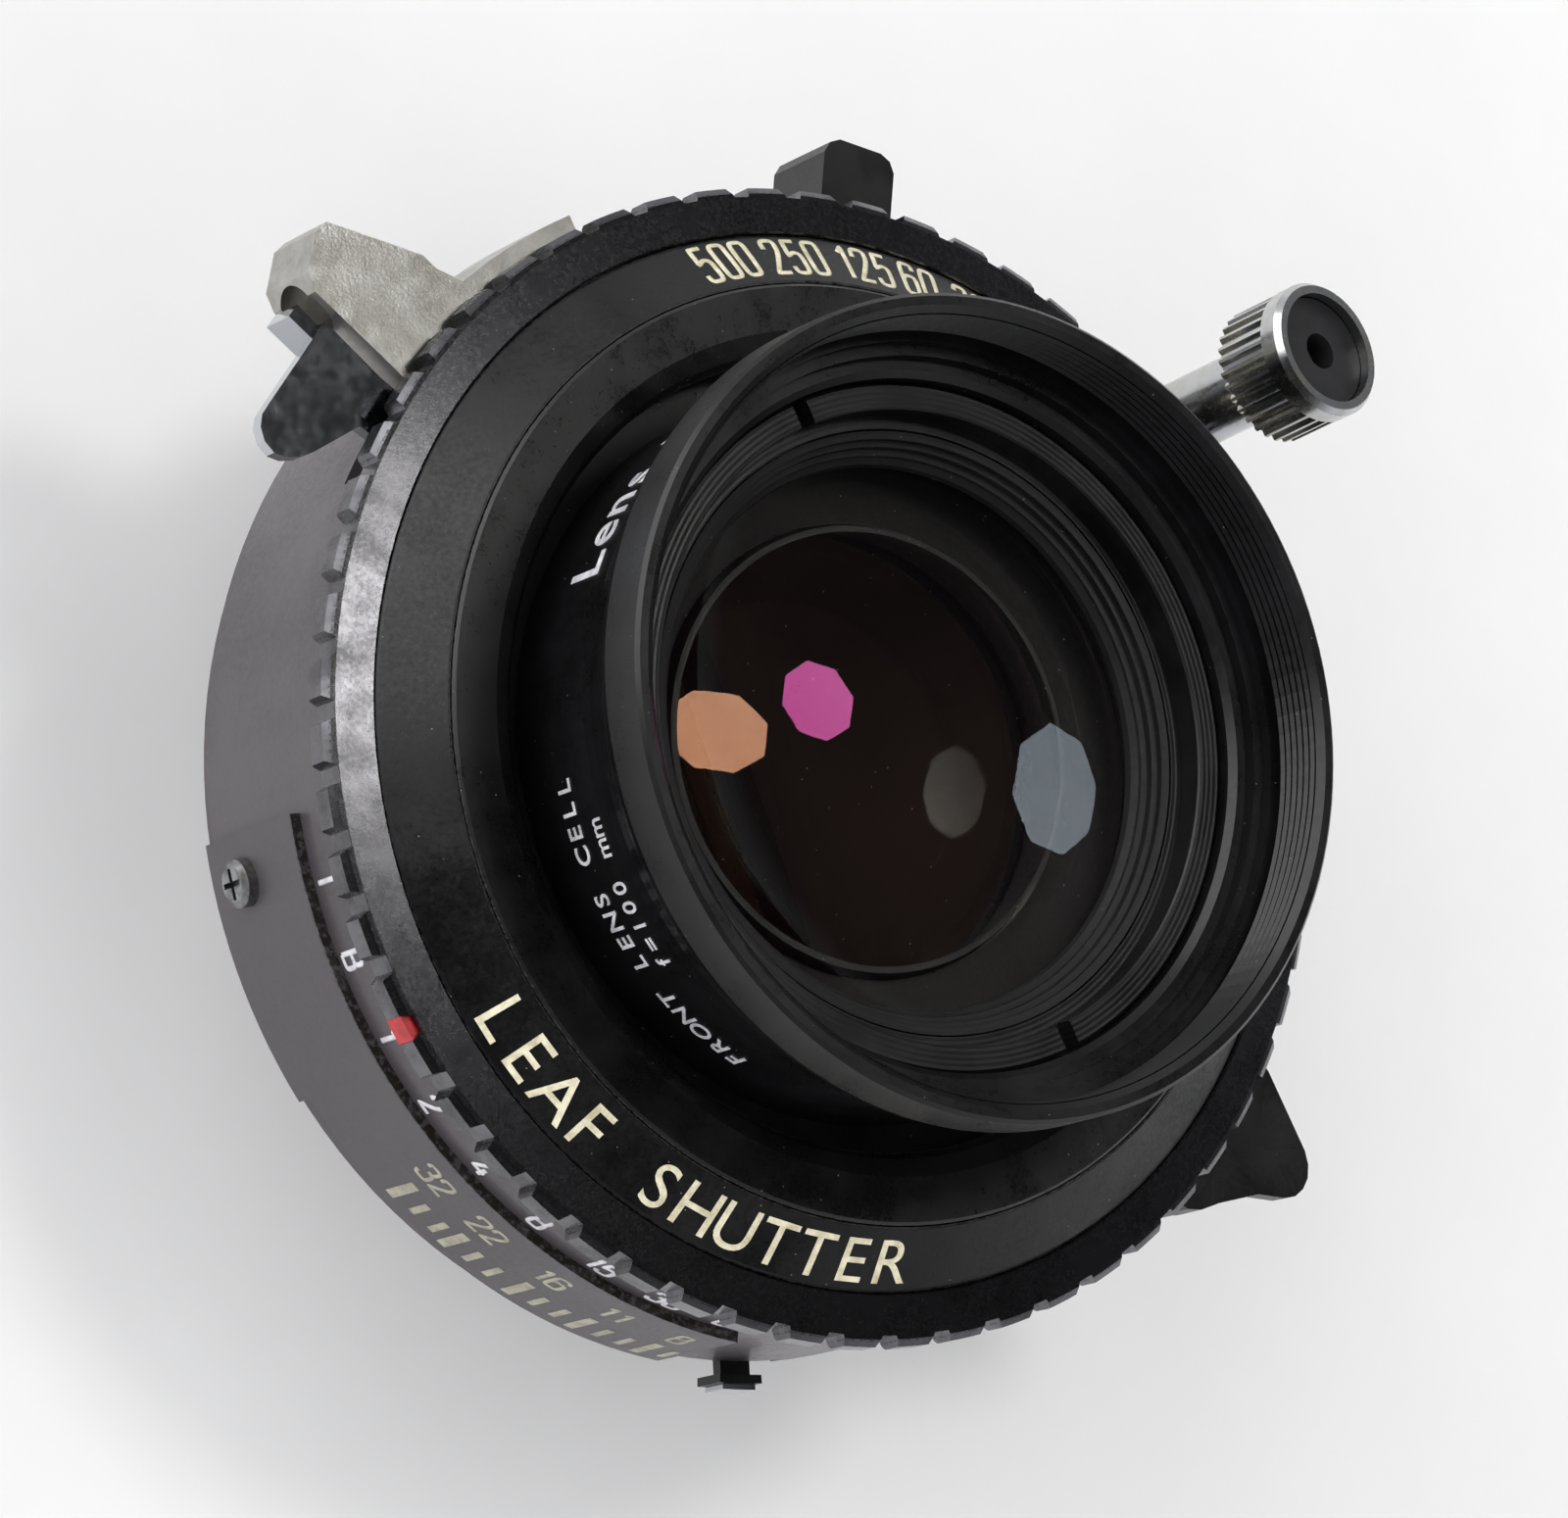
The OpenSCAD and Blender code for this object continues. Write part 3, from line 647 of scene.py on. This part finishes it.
class LENS_OT_glasses(bpy.types.Operator):
    """Four coated lenses with blackened edges, and a stop on their seat whose black is
    partly painted shade
    """

    bl_idname = "lens.glasses"
    bl_label = "Glass"

    def execute(self, context):
        # edge lacquer: dead flat black, so no light comes back from the rims
        lacquer = finish(
            "edge_lacquer", linear("#050505"), linear("#080808"),
            (0.75, 0.9), 0.4, 4.0, 0.004,
        )
        coats = {
            key: coated_glass(
                "coated_glass_" + key, (0.97, 0.95, 0.92, 1), GLASS_IOR, linear(colour)
            )
            for key, colour in COATINGS.items()
        }
        for name, (z0, r0, z1, r1, rim, front, rear, nodes) in LENSES.items():
            piece = lathe(name, surface(z0, r0, rim) + surface(z1, r1, rim)[::-1])
            for material in (coats[front], coats[rear], lacquer):
                piece.data.materials.append(material)
            for face in piece.data.polygons:
                if abs(face.normal.z) < 0.5:
                    face.material_index = 2
                elif face.normal.z < 0:
                    face.material_index = 1
            piece.visible_shadow = False
            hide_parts(*nodes)
            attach(piece, HOME)
        # lacquered light stop on the seat of the front pair: black lacquer, and painted
        # shade where the glasses cast no shadow
        outline = [
            (CLEAR_R, SEAT_Z0), (SEAT_R, SEAT_Z0), (SEAT_R, SEAT_Z1),
            (CLEAR_R, SEAT_Z1), (CLEAR_R, SEAT_Z0),
        ]
        stop = lathe("seat_lacquer_and_painted_shade", outline)
        stop.data.materials.append(lacquer)
        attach(stop, HOME)
        return {"FINISHED"}


# --------------------------------------------------------------- lettering


def alone():
    """Leaves edit mode and selects nothing."""
    if bpy.context.object and bpy.context.object.mode != "OBJECT":
        bpy.ops.object.mode_set(mode="OBJECT")
    bpy.ops.object.select_all(action="DESELECT")


# height of a capital of the built-in font at size 1
CAPITAL = 0.73


def glyphs(text, height, squeeze=1.0, weight=0.0, capital=False):
    """Text as a thin mesh centred on the origin, height tall, in metres.

    With capital, height is that of a capital letter and the text keeps its
    baseline, so that a full stop stays small and low.
    """
    alone()
    bpy.ops.object.text_add()
    obj = bpy.context.object
    obj.data.body = text
    obj.data.align_x = "CENTER"
    obj.data.size = 1.0
    obj.data.offset = weight
    obj.data.extrude = 0.02
    obj.data.resolution_u = 6
    bpy.ops.object.convert(target="MESH")
    obj = bpy.context.object
    ys = [v.co.y for v in obj.data.vertices]
    xs = [v.co.x for v in obj.data.vertices]
    scale = height / (CAPITAL if capital else max(ys) - min(ys))
    mid = CAPITAL / 2 if capital else (max(ys) + min(ys)) / 2
    centre = (max(xs) + min(xs)) / 2
    for v in obj.data.vertices:
        v.co = Vector(
            (
                (v.co.x - centre) * scale * squeeze,
                (v.co.y - mid) * scale,
                math.copysign(1.0, v.co.z),
            )
        )
    return obj


# engraver's strokes on a cell 10 high: a number pair is a point, "!" makes it
# a sharp corner, "/" starts a new stroke and "o" at the end closes it
STROKES = {
    "0": "2.5,-.1 .2,.1 0,3 0,7 .2,9.9 2.5,10.1 4.8,9.9 5,7 5,3 4.8,.1 o",
    "1": "1.0,8.0! 2.9,10! 2.9,0!",
    "2": "0,7.4 .2,9.9 2.5,10.2 4.9,9.8 4.8,7.2 3.6,4.8 .1,0! 5,0!",
    "3": ".1,8 .4,9.9 2.5,10.1 4.6,9.9 4.7,7.7 4.4,5.7 2.2,5.5"
         " / 2.2,5.5 4.7,5.2 5,2.8 4.8,.1 2.5,-.1 .3,.1 0,2.2",
    "4": "3.2,10! 0,2.4! 5.2,2.4! / 3.9,5.4! 3.9,0!",
    "5": "4.6,10! .7,10! .4,5.4! 2.6,6.5 4.9,6 5,3 4.8,.1 2.5,-.1 .3,.1 0,2",
    "6": "4.7,8.2 4.4,9.9 2.5,10.1 .2,9.9 0,7 0,3 .2,.1 2.5,-.1 4.8,.1 5,3"
         " 4.8,5.9 2.5,6.1 .5,5.6 0,4",
    "8": "2.5,5.4 .6,5.5 .3,7.7 .6,9.9 2.5,10.1 4.4,9.9 4.7,7.7 4.4,5.5 o"
         " / 2.5,5.4 .2,5.3 0,2.8 .2,.1 2.5,-.1 4.8,.1 5,2.8 4.8,5.3 o",
    "B": "0,0! 0,10! 3.0,10 4.6,9.6 4.7,7.6 4.4,5.5 2.4,5.4! 0,5.4!"
         " / 2.4,5.4! 4.9,5.2 5,2.8 4.9,.2 3,0 0,0!",
    "T": "0,10! 5,10! / 2.5,10! 2.5,0!",
}
CELL_HIGH = 10.0
CELL_WIDE, ONE_WIDE, CELL_GAP = 5.0, 3.6, 1.7
# stroke widths on that cell: front numbers, case numbers, f-numbers
STROKE_WIDE, SIDE_WIDE, STOP_WIDE = 1.25, 1.9, 1.6
# how far the round strokes are flattened on their two faces
FLATTEN = 1.8


def smooth_path(words):
    """Points of one stroke, with every corner but the sharp ones rounded."""
    closed = words[-1] == "o"
    points = []
    for word in words[: -1 if closed else None]:
        x, y = map(float, word.rstrip("!").split(","))
        points += [(x, y)] * (3 if word.endswith("!") else 1)
    for _ in range(2):
        ends = points + points[:1] if closed else points
        cut = []
        for (x0, y0), (x1, y1) in zip(ends, ends[1:]):
            cut.append((0.75 * x0 + 0.25 * x1, 0.75 * y0 + 0.25 * y1))
            cut.append((0.25 * x0 + 0.75 * x1, 0.25 * y0 + 0.75 * y1))
        points = cut if closed else points[:1] + cut + points[-1:]
    kept = points[:1]
    for point in points[1:]:
        if math.dist(point, kept[-1]) > 0.05:
            kept.append(point)
    return kept, closed


def stroked(text, height, squeeze, wide=STROKE_WIDE):
    """Engraved figures of even stroke width, centred, height tall in metres."""
    alone()
    bpy.ops.curve.primitive_nurbs_path_add()
    obj = bpy.context.object
    curve = obj.data
    curve.splines.clear()
    shift = 0.0
    for letter in text:
        for stroke in STROKES[letter].split(" / "):
            points, closed = smooth_path(stroke.split())
            spline = curve.splines.new("POLY")
            spline.points.add(len(points) - 1)
            for place, (x, y) in zip(spline.points, points):
                place.co = (x * squeeze + shift, y, 0.0, 1.0)
            spline.use_cyclic_u = closed
        shift += (ONE_WIDE if letter == "1" else CELL_WIDE) * squeeze + CELL_GAP
    curve.dimensions = "3D"
    curve.bevel_depth = wide / 2
    curve.bevel_resolution = 1
    curve.use_fill_caps = True
    bpy.ops.object.convert(target="MESH")
    obj = bpy.context.object
    scale = height / CELL_HIGH
    centre = (shift - CELL_GAP) / 2
    for v in obj.data.vertices:
        side = max(-1.0, min(1.0, v.co.z / (wide / 2) * FLATTEN))
        x, y = v.co.x - centre, v.co.y - CELL_HIGH / 2
        v.co = Vector((x * scale, y * scale, side))
    return obj


def wrap(obj, place):
    """Moves a flat mesh onto the object: place turns (x, y, side) into a point."""
    for v in obj.data.vertices:
        v.co = Vector(place(v.co.x, v.co.y, v.co.z))
    obj.data.update()


def polar(radius, angle, height):
    """Point from a radius and a height in metres and an angle in radians."""
    return radius * math.cos(angle), radius * math.sin(angle), height


def on_cone(azimuth, centre_r, outward, lift):
    """Placer for lettering on the sloping band of the face."""
    a0 = math.radians(azimuth)
    run = 1 / math.hypot(1, CONE_SLOPE)
    turn = -1 if outward else 1

    def place(x, y, side):
        r = centre_r * MM + (y if outward else -y) * run
        z = CONE_FOOT * MM + (CONE_EDGE_R * MM - r) * CONE_SLOPE
        return polar(r, a0 + turn * x / (centre_r * MM), z + side * lift)

    return place


def on_wall(azimuth, wall_r, centre_z, lift, upright=True):
    """Placer for lettering on a wall of the given radius."""
    a0 = math.radians(azimuth)
    way = 1 if upright else -1

    def place(x, y, side):
        r = wall_r * MM + side * lift
        return polar(r, a0 + way * x / (wall_r * MM), centre_z * MM + way * y)

    return place


def gather(parts, name, material):
    """Joins meshes into one named piece that rides on the shutter body."""
    alone()
    for part in parts:
        part.select_set(True)
    bpy.context.view_layer.objects.active = parts[0]
    bpy.ops.object.join()
    piece = bpy.context.object
    piece.name = name
    piece.data.name = name
    bpy.ops.object.mode_set(mode="EDIT")
    bpy.ops.mesh.select_all(action="SELECT")
    bpy.ops.mesh.remove_doubles(threshold=1e-7)
    bpy.ops.mesh.normals_make_consistent(inside=False)
    bpy.ops.object.mode_set(mode="OBJECT")
    piece.data.materials.clear()
    piece.data.materials.append(material)
    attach(piece, HOME)
    alone()
    return piece


def letters():
    """The lettering settings of this scene."""
    return bpy.context.scene.lens_lettering


def filled_paint(name, colour, worn):
    """Paint in engraved or printed numbers, chipped a little."""
    return finish(name, rgba(colour), linear(worn), (0.45, 0.62), 0.12, 0.8, 0.01)


FRONT_SPEEDS = {
    "500": 131.2, "250": 121.6, "125": 112.2, "60": 104.6, "30": 97.2,
    "15": 89.6, "8": 82.6, "4": 76.3, "2": 70.1, "1": 63.9, "B": 57.3, "T": 50.3,
}
SIDE_SPEEDS = ("T", "B", "1", "2", "4", "8", "15", "30", "60", "125", "250", "500")
SIDE_START, SIDE_STEP = -138.4, 8.0
STOPS = {
    "32": -107.1, "22": -99.9, "16": -91.6, "11": -83.9, "8": -76.2,
}
STOP_PITCH = 7.8
# azimuths where the row of stops ends, and past which no line is printed
STOP_END, LAST_TICK = -72.6, -73.2
# lines of the aperture scale: lower end, upper end, width
MAIN_TICK = (3.95, 6.6, 0.58)
MINOR_TICK = (4.35, 6.1, 0.42)
FACE_WORD = "LEAF SHUTTER"
WORD_ARC = (-118.6, -61.4)
# radii of the lettering on the face, heights of the numbers on the case
FACE_NUMBERS_R, FACE_WORD_R = 26.12, 26.1
SIDE_NUMBERS_Z, STOP_NUMBERS_Z = 12.1, 8.55
# barrel lettering: text, azimuth of its start, z, height, degrees per letter
BARREL_TEXTS = (
    ("Lens 5.6/100", 183.0, 19.7, 2.6, 5.7),
    ("FRONT LENS CELL", -92.5, 18.7, 1.2, 3.6),
    ("f=100 mm", -113.0, 20.6, 1.1, 3.2),
)


class LENS_OT_front_numbers(bpy.types.Operator):
    """Speed numbers and the words on the sloping band of the face"""

    bl_idname = "lens.front_numbers"
    bl_label = "Front Numbers"

    def execute(self, context):
        s = letters()
        cream = filled_paint("cream_engraving_paint", s.cream, "#bdb595")
        parts = []
        for text, azimuth in FRONT_SPEEDS.items():
            obj = stroked(text, s.number_height, 0.66)
            wrap(obj, on_cone(azimuth, FACE_NUMBERS_R, True, s.lift))
            parts.append(obj)
        gather(parts, "front_speed_numbers", cream)
        parts = []
        pitch = (WORD_ARC[1] - WORD_ARC[0]) / (len(FACE_WORD) - 1)
        for i, letter in enumerate(FACE_WORD):
            if letter != " ":
                obj = glyphs(letter, s.word_height)
                azimuth = WORD_ARC[0] + pitch * i
                wrap(obj, on_cone(azimuth, FACE_WORD_R, False, s.lift))
                parts.append(obj)
        gather(parts, "face_lettering", cream)
        return {"FINISHED"}


class LENS_OT_side_scale(bpy.types.Operator):
    """Speed numbers printed on the case wall"""

    bl_idname = "lens.side_scale"
    bl_label = "Side Speed Scale"

    def execute(self, context):
        s = letters()
        white = filled_paint("white_printed_paint", s.white, "#b5b3ba")
        parts = []
        for i, text in enumerate(SIDE_SPEEDS):
            obj = stroked(text, s.side_height, 0.95, SIDE_WIDE)
            azimuth = SIDE_START + SIDE_STEP * i
            wrap(obj, on_wall(azimuth, CASE_R, SIDE_NUMBERS_Z, s.lift))
            parts.append(obj)
        gather(parts, "side_speed_numbers", white)
        return {"FINISHED"}


def tick(azimuth, line, lift):
    """One printed line of the aperture scale."""
    z0, z1, width = line
    alone()
    bpy.ops.mesh.primitive_cube_add(size=1.0)
    obj = bpy.context.object
    obj.scale = (width * MM, (z1 - z0) * MM, 2.0)
    bpy.ops.object.transform_apply(location=False, rotation=False, scale=True)
    wrap(obj, on_wall(azimuth, PLATE_R, (z0 + z1) / 2, lift))
    return obj


class LENS_OT_stop_scale(bpy.types.Operator):
    """Lines and f-numbers on the aperture plate"""

    bl_idname = "lens.stop_scale"
    bl_label = "Aperture Scale"

    def execute(self, context):
        s = letters()
        faded = filled_paint("faded_scale_paint", s.faded, "#858173")
        parts = []
        places = sorted(STOPS.values()) + [STOP_END]
        for text, azimuth in STOPS.items():
            obj = stroked(text, s.stop_height, 0.95, STOP_WIDE)
            wrap(obj, on_wall(azimuth, PLATE_R, STOP_NUMBERS_Z, s.lift))
            parts.append(obj)
            parts.append(tick(azimuth, MAIN_TICK, s.lift))
        for start in places[:-1]:
            for third in (1, 2):
                azimuth = start + STOP_PITCH * third / 3
                if azimuth < LAST_TICK:
                    parts.append(tick(azimuth, MINOR_TICK, s.lift))
        gather(parts, "aperture_scale", faded)
        return {"FINISHED"}


class LENS_OT_barrel_lettering(bpy.types.Operator):
    """Focal length and aperture printed round the barrel"""

    bl_idname = "lens.barrel_lettering"
    bl_label = "Barrel Lettering"

    def execute(self, context):
        s = letters()
        white = filled_paint("white_barrel_paint", s.white, "#a3a2a8")
        parts = []
        for text, azimuth, z, height, pitch in BARREL_TEXTS:
            for i, letter in enumerate(text):
                if letter == " ":
                    continue
                obj = glyphs(letter, height * MM, 0.95, 0.012, capital=True)
                place = azimuth - pitch * i
                wrap(obj, on_wall(place, SKIRT_R + 0.03, z, s.lift, upright=False))
                parts.append(obj)
        gather(parts, "barrel_lettering", white)
        return {"FINISHED"}


# ----------------------------------------------------------------- threads


# filter thread in mm: crest depth, pitch, first crest below the rim, crests
THREAD_DEPTH, THREAD_PITCH, THREAD_DROP, THREAD_COUNT = 0.16, 0.5, 3.05, 6


def ridges(name, radius, depth, pitch, z0, count, material):
    """Thread crests as rings of four-sided section round the optical axis."""
    parts = []
    for i in range(count):
        alone()
        bpy.ops.mesh.primitive_torus_add(
            major_radius=(radius - depth * 0.4) * MM,
            minor_radius=depth * MM,
            major_segments=128,
            minor_segments=4,
            location=(0, 0, (z0 + pitch * i) * MM),
        )
        obj = bpy.context.object
        bpy.ops.object.transform_apply(location=True, rotation=True, scale=True)
        parts.append(obj)
    return gather(parts, name, material)


class LENS_OT_filter_thread(bpy.types.Operator):
    """Fine thread inside the front rim"""

    bl_idname = "lens.filter_thread"
    bl_label = "Filter Thread"

    def execute(self, context):
        black = bpy.data.materials["black_anodised_barrel"]
        piece = ridges(
            "filter_thread", FILTER_R, THREAD_DEPTH, THREAD_PITCH,
            RIM_Z - THREAD_DROP, THREAD_COUNT, black,
        )
        return {"FINISHED"}


# ------------------------------------------------------------------ studio


# direction from the lens to the main softbox, its distance and width in m
KEY_WAY = (0.056, 0.310, 0.949)
KEY_DISTANCE, KEY_WIDTH = 0.7, 0.165
KEY_COLOUR = (1.0, 0.98, 0.95, 1.0)
# fill lamps: name, place in m, share of the fill power
FILLS = (
    ("top_fill", (0.20, 0.60, 1.10), 0.55),
    ("left_fill", (-1.05, 0.25, 0.55), 1.3),
    ("near_fill", (-0.60, -0.80, 0.60), 1.1),
    ("right_fill", (0.90, -0.30, 0.60), 0.6),
)
FILL_WIDTH = 1.2
# the point that every fill lamp faces, in m
AIM = (0.0, 0.0, 0.012)
FLOOR_WIDTH = 6.0
# height above the horizon, 0 to 1, where the pale band starts and ends to fade
FADE = (0.20, 0.50)


def lamp(name, place, power):
    """A square area light that faces the lens."""
    bpy.ops.object.light_add(type="AREA", location=place)
    obj = bpy.context.object
    obj.name = name
    obj.data.shape = "RECTANGLE"
    obj.data.size = obj.data.size_y = FILL_WIDTH
    obj.data.energy = power
    aim = Vector(AIM) - Vector(place)
    obj.rotation_euler = aim.to_track_quat("-Z", "Y").to_euler()
    return obj


def octagon(name, way, distance, width, colour, glow):
    """A glowing eight-sided softbox."""
    alone()
    place = Vector(way).normalized() * distance
    bpy.ops.mesh.primitive_circle_add(
        vertices=8, radius=width / 2, fill_type="NGON", location=place
    )
    obj = bpy.context.object
    obj.name = name
    obj.rotation_euler = (-place).to_track_quat("Z", "Y").to_euler()
    mat = bpy.data.materials.new(name + "_glow")
    mat.use_nodes = True
    tree = mat.node_tree
    tree.nodes.remove(tree.nodes["Principled BSDF"])
    light = add(tree, "ShaderNodeEmission", {"Color": colour, "Strength": glow})
    tree.links.new(light.outputs[0], tree.nodes["Material Output"].inputs[0])
    obj.data.materials.append(mat)
    obj.visible_camera = False


class LENS_OT_studio(bpy.types.Operator):
    """Floor, lights, surroundings and camera"""

    bl_idname = "lens.studio"
    bl_label = "Studio"

    def execute(self, context):
        s = context.scene.lens_studio
        scene = context.scene
        scene.view_settings.view_transform = "Standard"
        alone()
        bpy.ops.mesh.primitive_plane_add(size=FLOOR_WIDTH, location=(0, 0, REST_Z * MM))
        floor = context.object
        floor.name = "floor"
        bpy.ops.object.transform_apply(location=True, rotation=True, scale=True)
        floor.data.materials.append(
            finish("paper_floor", rgba(s.floor), linear("#eeeeef"),
                   (0.8, 0.95), 1.2, 60.0, 0.002)
        )
        world = bpy.data.worlds.new("pale_room")
        scene.world = world
        world.use_nodes = True
        tree = world.node_tree
        way = add(tree, "ShaderNodeTexCoord").outputs["Generated"]
        climb = add(tree, "ShaderNodeSeparateXYZ", {0: way}).outputs["Z"]
        bright = add(
            tree,
            "ShaderNodeMapRange",
            {
                "Value": climb,
                "From Min": FADE[0],
                "From Max": FADE[1],
                "To Min": s.horizon,
                "To Max": s.zenith,
            },
        ).outputs[0]
        sky = tree.nodes["Background"]
        sky.inputs["Color"].default_value = linear("#f4f5f7")
        tree.links.new(bright, sky.inputs["Strength"])
        for name, place, share in FILLS:
            fill = lamp(name, place, s.fill_power * share)
            fill.visible_glossy = name == "left_fill"
            fill.visible_transmission = False
        octagon(
            "octagon_key", KEY_WAY, KEY_DISTANCE, KEY_WIDTH, KEY_COLOUR, s.key_glow
        )
        bpy.ops.object.camera_add(location=s.camera_place)
        camera = context.object
        camera.name = "view_camera"
        camera.rotation_euler = Euler(s.camera_turn)
        camera.data.lens = s.camera_lens
        camera.data.sensor_width = 36.0
        camera.data.clip_start = 0.01
        camera.data.clip_end = 20.0
        scene.camera = camera
        return {"FINISHED"}


class LENS_PT_panel(bpy.types.Panel):
    """Lists the steps in the sidebar"""

    bl_idname = "LENS_PT_panel"
    bl_label = "Leaf Shutter Lens"
    bl_space_type = "VIEW_3D"
    bl_region_type = "UI"
    bl_category = "Lens"

    def draw(self, context):
        for step in STEPS:
            self.layout.operator(step.bl_idname)
        for group in ("lens_finish", "lens_lettering", "lens_studio"):
            box = self.layout.box()
            data = getattr(context.scene, group)
            for key in data.bl_rna.properties.keys():
                if key not in ("rna_type", "name"):
                    box.prop(data, key)


STEPS = (
    LENS_OT_paint_shutter,
    LENS_OT_paint_metal,
    LENS_OT_paint_optics,
    LENS_OT_glasses,
    LENS_OT_front_numbers,
    LENS_OT_side_scale,
    LENS_OT_stop_scale,
    LENS_OT_barrel_lettering,
    LENS_OT_filter_thread,
    LENS_OT_studio,
)
GROUPS = {
    "lens_finish": LensFinishSettings,
    "lens_lettering": LensLetteringSettings,
    "lens_studio": LensStudioSettings,
}


def register():
    """Adds the settings, the steps and the panel."""
    for cls in (*GROUPS.values(), *STEPS, LENS_PT_panel):
        bpy.utils.register_class(cls)
    for name, cls in GROUPS.items():
        setattr(bpy.types.Scene, name, bpy.props.PointerProperty(type=cls))


def unregister():
    """Takes them out again."""
    for name in GROUPS:
        delattr(bpy.types.Scene, name)
    for cls in (LENS_PT_panel, *reversed(STEPS), *reversed(tuple(GROUPS.values()))):
        bpy.utils.unregister_class(cls)


def main():
    """Runs every step."""
    register()
    for step in STEPS:
        group, name = step.bl_idname.split(".")
        getattr(getattr(bpy.ops, group), name)()


if __name__ == "__main__":
    main()
